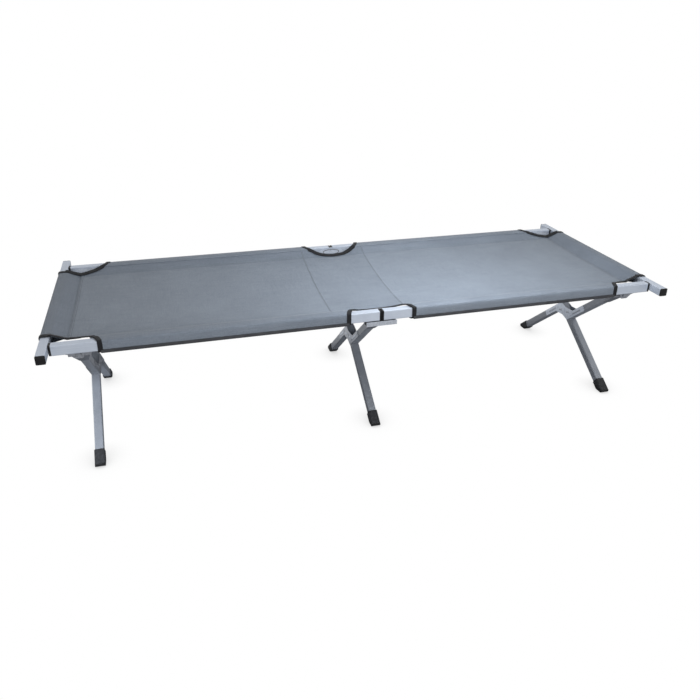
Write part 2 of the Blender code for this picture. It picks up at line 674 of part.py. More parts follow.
def notch_cutter(name, outline):
    """A prism that cuts the cloth's edge: its inner side runs smoothly through the measured points."""
    return smooth_outline_solid(name, outline, NOTCH_HEIGHT, Matrix.Translation((0, 0, RAIL_Z)))


def corner_notch(x_sign, y_sign):
    """The cut-out in the cloth around a corner of the frame."""
    edge_x = LENGTH / 2 + NOTCH_MARGIN
    edge_y = RAIL_SPREAD / 2 + NOTCH_MARGIN
    places = [(LENGTH / 2 - x, RAIL_SPREAD / 2 - y) for x, y in CORNER_NOTCH]
    first, last = places[0], places[-1]
    points = [(edge_x, first[1], "VECTOR"), (*first, "VECTOR")]
    points += [(*place, "AUTO") for place in places[1:-1]]
    points += [(*last, "VECTOR"), (last[0], edge_y, "VECTOR"), (edge_x, edge_y, "VECTOR")]
    return notch_cutter("corner_notch", [(x_sign * x, y_sign * y, kind) for x, y, kind in points])


def middle_notch(y_sign):
    """The arched cut-out in the cloth at the rail's middle joint."""
    edge_y = RAIL_SPREAD / 2 + NOTCH_MARGIN
    places = [(x, RAIL_SPREAD / 2 - y) for x, y in MIDDLE_NOTCH]
    last_x = places[-1][0]
    right = [(*place, "AUTO") for place in places[:-1]] + [(*places[-1], "VECTOR")]
    left = [(-x, y, kind) for x, y, kind in reversed(right[1:])]
    points = [(-last_x, edge_y, "VECTOR")] + left + right + [(last_x, edge_y, "VECTOR")]
    return notch_cutter("middle_notch", [(x, y_sign * y, kind) for x, y, kind in points])


def cloth_drop(x, y):
    """How far the cloth hangs below the rails' tops at a place on the bed."""
    reach = abs(y)
    if reach >= RAIL_INNER_Y:
        return 0.0
    if reach > POCKET_Y:
        return POCKET_DROP * (RAIL_INNER_Y - reach) / (RAIL_INNER_Y - POCKET_Y)
    centre = SAG_END + (SAG_MIDDLE - SAG_END) * (1 - (x / SEAM_X) ** 2)
    return POCKET_DROP + (centre - POCKET_DROP) * (1 - (reach / POCKET_Y) ** 2)


def cloth_stations():
    half = [POCKET_Y * share for share in (0, 1 / 3, 2 / 3, 1)] + [RAIL_INNER_Y]
    return [-y for y in reversed(half[1:])] + half


def solid_from_sections(name, sections):
    """A closed solid through a row of matching loops, capped at its first and last one."""
    shape = bmesh.new()
    rings = [[shape.verts.new(point) for point in section] for section in sections]
    count = len(rings[0])
    for ring, following in zip(rings, rings[1:]):
        for index in range(count):
            after = (index + 1) % count
            shape.faces.new((ring[index], ring[after], following[after], following[index]))
    shape.faces.new(list(reversed(rings[0])))
    shape.faces.new(rings[-1])
    bmesh.ops.recalc_face_normals(shape, faces=shape.faces)
    bmesh.ops.triangulate(shape, faces=shape.faces)
    mesh = bpy.data.meshes.new(name)
    shape.to_mesh(mesh)
    shape.free()
    return new_object(name, mesh, Matrix.Identity(4), CUTTERS)


def panel_section(x):
    """The cloth cut across the bed: over one rail, down, across and over the other, tucked under both."""
    inner_half = RAIL_SPREAD / 2 + CLEARANCE
    outer_half = inner_half + CLOTH
    tuck_half = inner_half - CLOTH_TUCK
    low = RAIL_BOTTOM - CLEARANCE
    top = CLOTH_BOTTOM + CLOTH
    upper = [(-outer_half, top)]
    upper += [(y, top - cloth_drop(x, y)) for y in cloth_stations()]
    upper += [(outer_half, top)]
    lower = [(-inner_half, CLOTH_BOTTOM)]
    lower += [(y, CLOTH_BOTTOM - cloth_drop(x, y)) for y in cloth_stations()]
    lower += [(inner_half, CLOTH_BOTTOM)]
    left = [(-inner_half, low), (-tuck_half, low), (-tuck_half, low - CLOTH), (-outer_half, low - CLOTH)]
    right = [(outer_half, low - CLOTH), (tuck_half, low - CLOTH), (tuck_half, low), (inner_half, low)]
    return [(x, y, z) for y, z in left + upper + right + list(reversed(lower))]


def cloth_panel(name, start_x, end_x):
    """A stretch of the bed's cloth, folded round both side rails."""
    places = [start_x + (end_x - start_x) * row / (PANEL_ROWS - 1) for row in range(PANEL_ROWS)]
    panel = solid_from_sections(name, [panel_section(x) for x in places])
    for y_sign in (-1, 1):
        cut(panel, middle_notch(y_sign))
        for x_sign in (-1, 1):
            if x_sign * (start_x + end_x) > SEAM_X / 2:
                cut(panel, corner_notch(x_sign, y_sign))
    part(panel, name, "cloth")


def sleeve_section(x_sign, y):
    """The end hem cut along the bed: up from the seam, over the end bar and under it."""
    face = LENGTH / 2 + CLEARANCE
    seam = SEAM_X + CLEARANCE
    low = BAR_Z - TUBE / 2 - CLEARANCE
    top = CLOTH_BOTTOM + CLOTH
    drop = cloth_drop(SEAM_X, y)
    loop = [(seam, top - drop), (BAR_FACE_X, top), (face + CLOTH, top), (face + CLOTH, low - CLOTH),
            (BAR_FACE_X, low - CLOTH), (BAR_FACE_X, low), (face, low), (face, CLOTH_BOTTOM),
            (BAR_FACE_X, CLOTH_BOTTOM), (seam, CLOTH_BOTTOM - drop)]
    return [(x_sign * x, y, z) for x, z in loop]


def end_sleeve(name, x_sign):
    """The hem at the head or foot, wrapped round the end bar."""
    sleeve = solid_from_sections(name, [sleeve_section(x_sign, y) for y in cloth_stations()])
    for y_sign in (-1, 1):
        cut(sleeve, corner_notch(x_sign, y_sign))
    part(sleeve, name, "cloth")


def build():
    for side in SIDES:
        for end in ENDS:
            side_rail(side, end)
            joint_plug(side, end)
            outer_cap(side, end)
            end_bracket(side, end)
            hanger(side, end)
        centre_bracket(side)
    for end, name in (("left", "head"), ("right", "foot")):
        end_bar(end, f"{name}_bar")
        for side in SIDES:
            bar_plug(side, end, f"{name}_bar_plug_{side}")
        end_sleeve(f"{name}_sleeve", ENDS[end])
    for label in SETS:
        leg_set(label)
    split = FOLD_PIN_X + CLEARANCE
    cloth_panel("cloth_left", -SEAM_X, -split)
    cloth_panel("cloth_middle", -FOLD_PIN_X, FOLD_PIN_X)
    cloth_panel("cloth_right", split, SEAM_X)


build()
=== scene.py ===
"""Looks of a folding camp bed: stretched cloth, black tape, stitching, tubes, pressed parts and feet.

Metres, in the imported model's frame: X runs along the bed, Y across it and Z up from the floor. A reach is a
distance from the bed's middle line towards either side.
"""
import math

import bmesh
import bpy
import numpy as np
from mathutils import Matrix, Vector


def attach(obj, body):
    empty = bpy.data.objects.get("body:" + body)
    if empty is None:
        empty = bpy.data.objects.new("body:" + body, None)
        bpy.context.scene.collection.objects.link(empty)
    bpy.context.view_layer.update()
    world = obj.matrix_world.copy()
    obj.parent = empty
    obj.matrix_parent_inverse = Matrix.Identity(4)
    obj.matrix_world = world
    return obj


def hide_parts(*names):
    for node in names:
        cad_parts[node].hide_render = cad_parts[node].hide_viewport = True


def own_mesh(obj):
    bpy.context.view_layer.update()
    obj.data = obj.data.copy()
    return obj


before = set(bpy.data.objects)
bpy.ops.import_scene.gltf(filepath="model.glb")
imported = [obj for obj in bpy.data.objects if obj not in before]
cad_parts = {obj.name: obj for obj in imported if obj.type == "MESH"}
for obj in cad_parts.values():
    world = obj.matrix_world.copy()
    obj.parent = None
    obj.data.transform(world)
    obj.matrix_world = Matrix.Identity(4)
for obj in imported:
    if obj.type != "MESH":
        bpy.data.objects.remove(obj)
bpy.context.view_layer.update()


def span(node_name, axis):
    """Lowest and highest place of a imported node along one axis, to the micrometre."""
    places = [round(corner[axis], 6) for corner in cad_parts[node_name].bound_box]
    return min(places), max(places)


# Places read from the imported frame
RAIL_INNER_Y, RAIL_OUTER_Y = span("far_rail_right", 1)
RAIL_BOTTOM, RAIL_TOP = span("far_rail_right", 2)
BAR_INNER_X, BAR_OUTER_X = span("foot_bar", 0)
END_LEG_X = sum(span("right_straight_leg", 0)) / 2
CROSS_Z = sum(span("middle_cross_plate_a", 2)) / 2

# The rest of the frame: fold pins, feet, slopes of the legs, and plates
FOLD_PIN_X = 0.041
FOLD_PIN_Z = RAIL_BOTTOM - 0.007
FOOT_REACH = 0.279
STRAIGHT_SLOPE = math.radians(33.74)
SPLIT_SLOPE = math.radians(38.37)
PLATE_FACE = 0.0142

# Cloth: how high it lies, its drop into each rail's pocket and the bowl between the pockets
CLOTH = 0.0008
CLOTH_LIFT = 0.0009
POCKET_REACH = 0.250
POCKET_DROP = 0.0185
POCKET_EASE = 0.16
SAG_END = 0.022
SAG_MIDDLE = 0.032
NOTCH_DIP = 0.007
NOTCH_DIP_HALF = 0.095
NOTCH_DIP_REACH = 0.262
NOTCH_DIP_SPREAD = 0.022

# Unevenness of the cloth: how high each kind of wave is, its shape and how fast it dies away
BROAD_HEIGHT = 0.0007
BROAD_TURNS = ((4.1, 9.0), (-2.2, 6.3))
BROAD_START = 0.6
PUCKER_HEIGHT = 0.00025
PUCKER_WAVE = {"pitch": 0.027, "wander": 1.9, "turns": 17.0}
PUCKER_FADE = 0.028
PULL_HEIGHT = 0.00018
PULL_WAVE = {"pitch": 0.045, "wander": 2.3, "turns": 9.0}
PULL_FADE = 0.05
CREASE_HEIGHT = 0.0009
CREASE_CORNER = (0.86, 0.27)
CREASE_FAN = 15
CREASE_START = 0.03
CREASE_FADE = 0.10

# Seams: the end seams run straight across, and a cross seam askew as middle + slope * y
SEAM_X = 0.883
CROSS_SEAMS = {"left": (-0.1265, 0.0420), "right": (0.1020, 0.0420)}
CROSS_SEAM_HALF = 0.0035
CROSS_SEAM_RISE = 0.0005
CROSS_SEAM_SHOULDER = 0.0015
# Past this reach the far side of the cloth is painted darker: painted shade on its slope up to the far rail
FAR_BAND_REACH = 0.246

# Cut-outs, as (distance from the bed's middle, reach); from its flare on, a corner one runs out to the rail
HEM_HALF = 0.261
CORNER_OUTLINE = np.array([(0.960, HEM_HALF), (0.926, HEM_HALF), (0.883, 0.263), (0.852, 0.272),
                           (0.828, 0.284), (0.809, 0.301), (0.799, 0.325)])
MIDDLE_OUTLINE = np.array([(0.000, 0.265), (0.040, 0.270), (0.070, 0.284), (0.088, 0.302), (0.097, 0.325)])
CORNER_POINTS = 160
CORNER_FLARE = 60
MIDDLE_POINTS = 120

# Panels: their edge at the rails, and the laps that close over the fold pins
PANEL_REACH = 0.2955
PANEL_COLUMNS = 97
PANEL_STATIONS = 66
EDGE_CROWDING = 0.35
LAP_START = 0.16
LAP_END = 0.005
LAP_STATIONS = 88
LAP_DIP = 0.0010
LAP_EASE = 0.003
FLARE_SPAN = (0.79, 0.83)
FLARE_STATIONS = 16
MIDDLE_HALF = 0.0795
MIDDLE_STATIONS = 33
MIDDLE_LIFT = 0.0002
MIDDLE_CLOTH = CLOTH * 0.6

# Rail pocket: (outwards, up) from the rail's outer top edge, from the stitch line round and up inside
ON_CLOTH = math.nan
RAIL_WRAP = np.array([(-0.0370, ON_CLOTH), (-0.0315, ON_CLOTH), (-0.0250, 0.0022), (-0.0150, 0.0024),
                      (-0.0045, 0.0022), (-0.0002, 0.0016), (0.0016, -0.0004), (0.0020, -0.0068),
                      (0.0022, -0.0170), (0.0020, -0.0245), (0.0006, -0.0302), (-0.0035, -0.0334),
                      (-0.0125, -0.0345), (-0.0215, -0.0334), (-0.0258, -0.0300), (-0.0266, -0.0210),
                      (-0.0270, -0.0105), (-0.0270, -0.0030)]) + (RAIL_OUTER_Y, RAIL_TOP)
TOP = slice(0, 4)
OUTER_FACE = slice(7, 10)
UNDERSIDE = slice(10, 14)
HEM_STATIONS = 61
HEM_LIFT = 0.0013
HEM_BULGE = 0.0004
HEM_PUFF = 0.00035
HEM_SLACK = 0.0009
HEM_SLACK_TURNS = 7
HEM_SLACK_SHIFT = 2
TAPE_PULL = 0.0012
TAPE_PULL_PITCH = 0.019
TAPE_PULL_FADE = 0.035
TAPE_PULL_SLANT = 0.005

# Bar pocket: (outwards, up) from the bar's outer top edge, from the flap's end round and back under it
BAR_WRAP = np.array([(-0.1020, ON_CLOTH), (-0.0880, ON_CLOTH), (-0.0750, ON_CLOTH), (-0.0670, ON_CLOTH),
                     (-0.0565, ON_CLOTH), (-0.0460, ON_CLOTH), (-0.0355, ON_CLOTH), (-0.0260, ON_CLOTH),
                     (-0.0190, 0.0014), (-0.0120, 0.0016), (-0.0040, 0.0014), (-0.0004, 0.0007),
                     (0.0014, -0.0012), (0.0018, -0.0110), (0.0014, -0.0230), (-0.0005, -0.0260),
                     (-0.0125, -0.0268), (-0.0240, -0.0262), (-0.0264, -0.0230), (-0.0380, ON_CLOTH),
                     (-0.0600, ON_CLOTH)]) + (BAR_OUTER_X, RAIL_TOP)
FLAP_END = slice(0, 3)
FLAP = slice(0, 4)
FLAP_UP = slice(4, 8)
RETURN = slice(-3, None)
HEM_COLUMNS = 81
FLAP_GAP = 0.0016
FLAP_RISE = np.linspace(0.8, 0.1, 4)[:, None]
FLAP_INSET = 0.0005
FLAP_CLEARANCE = 0.003
FLAP_SETBACK = 0.006
RETURN_SETBACK = 0.004
RETURN_DROP = 0.0030
RETURN_SAG = 0.001

# Black tape: an oval carried along an edge, and a line round the bar from its outer top edge
TAPE_WIDTH = 0.017
TAPE_THICKNESS = 0.0030
TAPE_INSET = 0.0045
TAPE_CURL = math.radians(14)
TAPE_BITE = 0.0004
TAPE_STEP = 0.006
PANEL_TAPE_END = SEAM_X + 0.002
PANEL_TAPE_REACH = 0.294
PANEL_TAPE_LIFT = CLOTH * 0.5
HEM_TAPE_ENDS = (SEAM_X - 0.004, 0.930)
JOINT_TAPE_REACH = 0.296
MIDDLE_TAPE_HALF = 0.078
MIDDLE_TAPE_LIFT = CLOTH * 0.9
BAR_TAPE = np.array([(-0.0280, 0.0020), (-0.0200, 0.0018), (-0.0050, 0.0018), (0.0005, 0.0008),
                     (0.0022, -0.0022), (0.0022, -0.0110), (0.0018, -0.0240), (0.0000, -0.0268),
                     (-0.0120, -0.0275), (-0.0230, -0.0275), (-0.0260, -0.0255)]) + (BAR_OUTER_X, RAIL_TOP)
BAR_TAPE_POINTS = 44
MOUTH_TAPE_WIDTH = 0.0135
MOUTH_ROWS = 14
MOUTH_POINTS = 60
MOUTH_LIFT = 0.0012
MOUTH_BULGE = 0.0005
MOUTH_GAP = 0.0002

# Painted-shade strip under each rail pocket, ribs and rings pressed into steel: ovals as (width, thickness),
# the ring's with its points
SHADE_STRIP = (0.0105, 0.0030)
SHADE_STRIP_ENDS = (0.100, 0.794)
SHADE_STRIP_POINTS = 40
SHADE_STRIP_REACH = RAIL_OUTER_Y + 0.0022
SHADE_STRIP_Z = RAIL_BOTTOM + 0.0003
RIB = (0.0062, 0.0018)
RIB_LINES = (((0.052, 0.026), (0.104, 0.026)), ((-0.052, -0.026), (-0.104, -0.026)),
             ((0.030, 0.014), (0.013, 0.008)), ((-0.030, -0.014), (-0.013, -0.008)))
RIB_POINTS = 12
RING_LENGTH = 0.060
RING_HEIGHT = 0.019
RING_Z = 0.4015
RING_SINK = 0.0020
RING_BEAD = (0.0026, 0.0022, 10)
RING_POINTS = 56

# Stitches: a bead's corners as shares of its half length, half width and height, and where the rows run
BEAD = np.array([(-1.0, 0.0, -0.4), (-0.6, -1.0, 0.0), (-0.6, 0.0, 1.0), (-0.6, 1.0, 0.0),
                 (0.6, -1.0, 0.0), (0.6, 0.0, 1.0), (0.6, 1.0, 0.0), (1.0, 0.0, -0.4)])
BEAD_FACES = np.array([(0, 1, 2), (0, 2, 3), (0, 3, 1), (1, 4, 5), (1, 5, 2), (2, 5, 6),
                       (2, 6, 3), (3, 6, 4), (3, 4, 1), (7, 5, 4), (7, 6, 5), (7, 4, 6)])
STITCH_SHARE = 0.62
STITCH_WIDTH = 0.0011
STITCH_HEIGHT = 0.0007
STITCH_POINTS = 240
SEAM_STITCH = 0.0042
CROSS_SEAM_ROWS = (-0.0013, 0.0013)
CROSS_SEAM_REACH = 0.287
END_SEAM_ROWS = (0.0025, 0.0075)
END_SEAM_REACH = 0.249
HEM_STITCH = 0.0045
HEM_STITCH_ENDS = (0.086, 0.802)
HEM_STITCH_REACH = 0.2905
HEM_STITCH_LIFT = 0.0016

# The floor lies just under the feet and is shaded around each of them
FLOOR_HALF = 6.0
FLOOR_GAP = 0.0006
FOOT_SHADE = 0.45
FOOT_SHADE_REACH = 0.13

ENDS = {"left": -1, "right": 1}
SIDES = {"near": -1, "far": 1}
BARS = {"head": "left", "foot": "right"}
LEG_SETS = {"left": -END_LEG_X, "middle": 0.0, "right": END_LEG_X}
ALONG = np.array([1.0, 0.0, 0.0])
ACROSS = np.array([0.0, 1.0, 0.0])
UP = np.array([0.0, 0.0, 1.0])


class Signal:
    """A shader socket that takes part in sums and products; each one adds its Math node."""

    def __init__(self, finish, socket):
        self.finish = finish
        self.socket = socket

    def reckon(self, operation, *values):
        return self.finish.node("ShaderNodeMath", {"operation": operation}, dict(enumerate(values)))

    def __add__(self, other):
        return self.reckon("ADD", self, other)

    def __sub__(self, other):
        return self.reckon("SUBTRACT", self, other)

    def __rsub__(self, other):
        return self.reckon("SUBTRACT", other, self)

    def __mul__(self, other):
        return self.reckon("MULTIPLY", self, other)

    __radd__ = __add__
    __rmul__ = __mul__

    def sine(self):
        return self.reckon("SINE", self)

    def size(self):
        return self.reckon("ABSOLUTE", self)

    def lesser(self, other):
        return self.reckon("MINIMUM", self, other)

    def greater(self, other):
        return self.reckon("MAXIMUM", self, other)

    def rise(self, low, high, start=0.0, end=1.0):
        """Smoothly from start to end as the value goes from low to high."""
        return self.finish.node("ShaderNodeMapRange", {"interpolation_type": "SMOOTHSTEP"},
                                {0: self, 1: low, 2: high, 3: start, 4: end})


class Finish:
    """A material being made: one shader, and the nodes that feed it."""

    def __init__(self, name, **constants):
        self.material = bpy.data.materials.new(name)
        self.material.use_nodes = True
        self.tree = self.material.node_tree
        self.tree.nodes.clear()
        self.shader = self.tree.nodes.new("ShaderNodeBsdfPrincipled")
        self.output = self.tree.nodes.new("ShaderNodeOutputMaterial")
        self.tree.links.new(self.shader.outputs["BSDF"], self.output.inputs["Surface"])
        for socket_name, value in constants.items():
            self.shader.inputs[socket_name.replace("_", " ")].default_value = value
        self.place = self.node("ShaderNodeTexCoord", output="Object")

    def node(self, kind, settings=None, sockets=None, output=0):
        node = self.tree.nodes.new(kind)
        for name, value in (settings or {}).items():
            setattr(node, name, value)
        for key, value in (sockets or {}).items():
            self.feed(node.inputs[key], value)
        return Signal(self, node.outputs[output])

    def feed(self, socket, value):
        if isinstance(value, Signal):
            self.tree.links.new(value.socket, socket)
        else:
            socket.default_value = value

    def axis(self, name):
        return self.node("ShaderNodeSeparateXYZ", None, {0: self.place}, output=name)

    def stretched(self, scale, turn=(0.0, 0.0, 0.0)):
        return self.node("ShaderNodeMapping", None, {"Vector": self.place, "Rotation": turn, "Scale": scale})

    def noise(self, scale=1.0, detail=2.0, roughness=0.5, vector=None):
        return self.node("ShaderNodeTexNoise", None, {"Vector": vector or self.place, "Scale": scale,
                                                      "Detail": detail, "Roughness": roughness})

    def blend(self, share, first, second):
        """A colour between two: sockets 6 and 7 of a colour Mix, and its third output."""
        return self.node("ShaderNodeMix", {"data_type": "RGBA"}, {0: share, 6: first, 7: second}, output=2)

    def bump(self, height, distance, strength):
        return self.node("ShaderNodeBump", None, {"Height": height, "Distance": distance,
                                                  "Strength": strength})

    def glow(self, red, green, blue):
        return self.node("ShaderNodeEmission", None, {"Color": rgb(red, green, blue)})

    def mix(self, share, first, second):
        return self.node("ShaderNodeMixShader", None, {0: share, 1: first, 2: second})

    def ray(self, kind):
        return self.node("ShaderNodeLightPath", output=kind)

    def surface(self, **links):
        for name, value in links.items():
            self.feed(self.shader.inputs[name.replace("_", " ")], value)
        return self.material


def rgb(red, green, blue):
    return (red, green, blue, 1.0)


def scaled(colour, factor):
    """The colour times a factor, at most white."""
    return rgb(*(min(1.0, factor * value) for value in colour[:3]))


# Cloth: thread pitch, slubs in waves a metre, colours, painted light on the right panel, painted shade on the
# far band, and how much darker the pockets look
THREAD_PITCH = 0.0012
SLUB_LONG = 14.0
SLUB_FINE = 620.0
DARK_CLOTH = rgb(0.133, 0.157, 0.194)
PALE_CLOTH = rgb(0.265, 0.303, 0.356)
RIGHT_PANEL_PAINTED_LIGHT = 0.13
FAR_BAND_PAINTED_SHADE = 0.243
HEM_SHADE = 0.157
SLEEVE_SHADE = 0.393


def woven_cloth(name, shade=None):
    """Plain woven polyester: two threads over and under, slubs along both, and soft mottling.

    The weave is sin(2 pi x / pitch) * sin(2 pi y / pitch). The right panel is painted a little paler: painted
    light. Pockets are darker by the given shade all over; without one, the cloth past the far band's reach
    gets painted shade, for its slope up to the far rail.
    """
    finish = Finish(name, IOR=1.5, Specular_IOR_Level=0.30, Sheen_Weight=0.08, Sheen_Roughness=0.4)
    along, across = finish.axis("X"), finish.axis("Y")
    thread = 2 * math.pi / THREAD_PITCH
    weave = (along * thread).sine() * (across * thread).sine()
    slub_x = finish.noise(roughness=0.6, vector=finish.stretched((SLUB_LONG, SLUB_FINE, SLUB_FINE)))
    slub_y = finish.noise(roughness=0.6, vector=finish.stretched((SLUB_FINE, SLUB_LONG, SLUB_FINE)))
    mottle = finish.noise(520.0, roughness=0.7)
    cloud = finish.noise(9.0, detail=3.0)
    tone = mottle * 0.55 + slub_x * 0.28 + slub_y * 0.22 + cloud * 0.14 + weave * 0.03
    middle, slope = CROSS_SEAMS["right"]
    past_seam = along - across * slope
    # Right of the right cross seam the cloth is painted paler: painted light for the light that panel catches
    share = tone.rise(0.395, 0.795) + past_seam.rise(middle - 0.001, middle + 0.001, 0.0, RIGHT_PANEL_PAINTED_LIGHT)
    # With no shade given, the cloth past the far band's reach is painted darker: painted shade
    if shade is None:
        share = share - across.rise(FAR_BAND_REACH - 0.002, FAR_BAND_REACH + 0.002, 0.0, FAR_BAND_PAINTED_SHADE)
    else:
        share = share - shade
    height = weave * 0.5 + slub_x * 0.7 + slub_y * 0.7 + mottle * 0.5
    return finish.surface(Base_Color=finish.blend(share, DARK_CLOTH, PALE_CLOTH),
                          Roughness=mottle.rise(0.2, 0.8, 0.50, 0.62),
                          Normal=finish.bump(height, distance=0.00035, strength=0.55))


def ribbed_tape(name):
    """Black ribbed tape: fine ribs and dusty high threads."""
    finish = Finish(name, IOR=1.45, Specular_IOR_Level=0.25, Sheen_Weight=0.04)
    ribs = finish.noise(900.0, detail=1.0)
    dust = finish.noise(60.0, detail=3.0, roughness=0.6)
    colour = finish.blend(ribs * 0.6 + dust * 0.4, rgb(0.006, 0.006, 0.007), rgb(0.020, 0.021, 0.024))
    return finish.surface(Base_Color=colour, Roughness=dust.rise(0.3, 0.7, 0.62, 0.78),
                          Normal=finish.bump(ribs, distance=0.0004, strength=0.6))


def sewing_thread(name, colour):
    """Twisted thread, darker in the twist."""
    finish = Finish(name, IOR=1.5, Sheen_Weight=0.2)
    twist = finish.noise(1400.0, detail=1.0)
    return finish.surface(Base_Color=finish.blend(twist, colour, scaled(colour, 0.7)),
                          Roughness=twist.rise(0.2, 0.8, 0.5, 0.7),
                          Normal=finish.bump(twist, distance=0.0002, strength=0.4))


def anodised(name, dull, bright, streaks, turn=(0.0, 0.0, 0.0)):
    """Grey anodised tube: hair lines along it, cloudy gloss and a few paler rubs."""
    finish = Finish(name)
    hair = finish.noise(roughness=0.6, vector=finish.stretched(streaks, turn))
    cloud = finish.noise(22.0, detail=3.0, roughness=0.55)
    rub = finish.noise(140.0, detail=4.0, roughness=0.65).rise(0.60, 0.74)
    tone = hair * 0.55 + cloud * 0.45
    colour = finish.blend(tone.rise(0.3, 0.7), dull, bright)
    colour = finish.blend(rub * 0.20, colour, scaled(bright, 1.3))
    return finish.surface(Base_Color=colour, Metallic=rub * 0.06 + 0.40,
                          Roughness=tone.rise(0.3, 0.7, 0.38, 0.48),
                          Normal=finish.bump(hair, distance=0.00012, strength=0.35))


def pressed_steel(name, dull, bright):
    """Zinc plated sheet: a fine spangle, soft dents and duller patches."""
    finish = Finish(name)
    spangle = finish.node("ShaderNodeTexVoronoi", None, {"Vector": finish.place, "Scale": 260.0})
    cloud = finish.noise(45.0, detail=4.0, roughness=0.6)
    tone = spangle * 0.5 + cloud * 0.6
    return finish.surface(Base_Color=finish.blend(tone.rise(0.25, 0.75), dull, bright),
                          Metallic=cloud.rise(0.3, 0.7, 0.56, 0.68),
                          Roughness=tone.rise(0.25, 0.75, 0.26, 0.42),
                          Normal=finish.bump(cloud, distance=0.0006, strength=0.25))


def moulded(name, dark, pale, rough):
    """Moulded nylon or rubber: spark-eroded grain, faint flow marks and scuffs."""
    finish = Finish(name, IOR=1.49, Specular_IOR_Level=0.15)
    grain = finish.noise(850.0, roughness=0.6)
    flow = finish.noise(35.0, detail=3.0)
    scuff = finish.noise(190.0, detail=4.0, roughness=0.7).rise(0.60, 0.75)
    return finish.surface(Base_Color=finish.blend(flow.rise(0.3, 0.7) * 0.6 + scuff * 0.4, dark, pale),
                          Roughness=grain.rise(0.3, 0.7, rough - 0.06, rough + 0.08),
                          Normal=finish.bump(grain, distance=0.00025, strength=0.5))


def foot_rubber(name):
    """Dark grey foot, nearly black in its lowest part, next to the floor."""
    finish = Finish(name, IOR=1.5, Specular_IOR_Level=0.3)
    grain = finish.noise(700.0, roughness=0.6)
    scuff = finish.noise(120.0, detail=4.0, roughness=0.7)
    height = finish.axis("Z") + scuff * 0.004
    body = finish.blend(scuff.rise(0.35, 0.7), rgb(0.020, 0.021, 0.023), rgb(0.036, 0.037, 0.041))
    colour = finish.blend(height.rise(0.0125, 0.0150), rgb(0.010, 0.010, 0.011), body)
    return finish.surface(Base_Color=colour, Roughness=grain.rise(0.3, 0.7, 0.48, 0.62),
                          Normal=finish.bump(grain, distance=0.0003, strength=0.5))


HAIR_LINES = {"along": (6.0, 700.0, 700.0), "across": (700.0, 6.0, 700.0)}
PALE_TUBE = (rgb(0.450, 0.500, 0.585), rgb(0.540, 0.590, 0.675))
# The legs take a darker copy of the tube's colours: painted shade for their place under the bed
SHADED_LEG_TUBE = (rgb(0.275, 0.298, 0.340), rgb(0.350, 0.375, 0.420))
# Far brackets and right plates take the painted-light steel, left plates and every node not listed the
# painted-shade steel
NODE_LOOKS = {"straight_leg": "straight_leg", "split_leg": "split_leg", "plug": "nylon", "cap": "nylon",
              "rail": "rail", "_bar": "bar", "_foot": "foot", "cloth": "cloth", "sleeve": "cloth",
              "left_cross_plate": "painted_shade_steel", "middle_cross_plate": "steel",
              "right_cross_plate": "painted_light_steel", "near_centre_bracket": "steel",
              "far_centre_bracket": "painted_light_steel", "far_end_bracket": "painted_light_steel"}
# Left and middle ribs take a paler steel copy than their plate, painted light; the right ones a darker one,
# painted shade
RIB_LOOKS = {"left": "steel", "middle": "painted_light_steel", "right": "steel"}
LOOKS = {
    "cloth": woven_cloth("woven_cloth"),
    "hem_cloth": woven_cloth("hem_cloth", HEM_SHADE),
    "sleeve_cloth": woven_cloth("sleeve_cloth", SLEEVE_SHADE),
    "tape": ribbed_tape("binding_tape"),
    "thread": sewing_thread("grey_thread", rgb(0.33, 0.36, 0.41)),
    "dark_thread": sewing_thread("dark_thread", rgb(0.030, 0.033, 0.039)),
    "rail": anodised("rail_tube", *PALE_TUBE, HAIR_LINES["along"]),
    "bar": anodised("bar_tube", *PALE_TUBE, HAIR_LINES["across"]),
    "straight_leg": anodised("straight_leg_tube", *SHADED_LEG_TUBE, HAIR_LINES["across"],
                             (-STRAIGHT_SLOPE, 0.0, 0.0)),
    "split_leg": anodised("split_leg_tube", *SHADED_LEG_TUBE, HAIR_LINES["across"], (SPLIT_SLOPE, 0.0, 0.0)),
    # One pressed steel in three copies: plain, painted light for parts facing the lamps, painted shade for
    # parts in the bed's shadow
    "steel": pressed_steel("pressed_steel", rgb(0.340, 0.370, 0.420), rgb(0.480, 0.510, 0.570)),
    "painted_light_steel": pressed_steel("painted_light_steel", rgb(0.500, 0.555, 0.650), rgb(0.700, 0.755, 0.850)),
    "painted_shade_steel": pressed_steel("painted_shade_steel", rgb(0.150, 0.160, 0.180), rgb(0.270, 0.285, 0.320)),
    # A dark strip, painted shade where each rail pocket turns under the rail
    "shade_strip": moulded("painted_shade_strip", rgb(0.046, 0.048, 0.053), rgb(0.072, 0.074, 0.082), 0.6),
    "nylon": moulded("black_nylon", rgb(0.008, 0.008, 0.009), rgb(0.022, 0.022, 0.024), 0.42),
    "foot": foot_rubber("foot_rubber"),
}


def finished(name, mesh, look, smooth_angle=40):
    """A visible piece with its look."""
    item = bpy.data.objects.new(name, mesh)
    bpy.context.scene.collection.objects.link(item)
    mesh.materials.append(LOOKS[look])
    mesh.shade_smooth()
    mesh.set_sharp_from_angle(angle=math.radians(smooth_angle))
    return item


def unit(vectors):
    """The same vectors, each one long."""
    return vectors / (np.linalg.norm(vectors, axis=-1, keepdims=True) + 1e-12)


def grid_faces(rows, columns, round_rows=False, round_columns=False):
    """Quads between neighbours of a grid of points, numbered row by row; a round way meets its own start."""
    index = np.arange(rows * columns).reshape(rows, columns)
    if round_columns:
        index = np.hstack([index, index[:, :1]])
    if round_rows:
        index = np.vstack([index, index[:1]])
    return np.stack([index[:-1, :-1], index[:-1, 1:], index[1:, 1:], index[1:, :-1]], -1).reshape(-1, 4)


def mesh_of(name, points, faces):
    mesh = bpy.data.meshes.new(name)
    mesh.from_pydata(np.asarray(points).reshape(-1, 3).tolist(), [], [list(face) for face in faces])
    return mesh


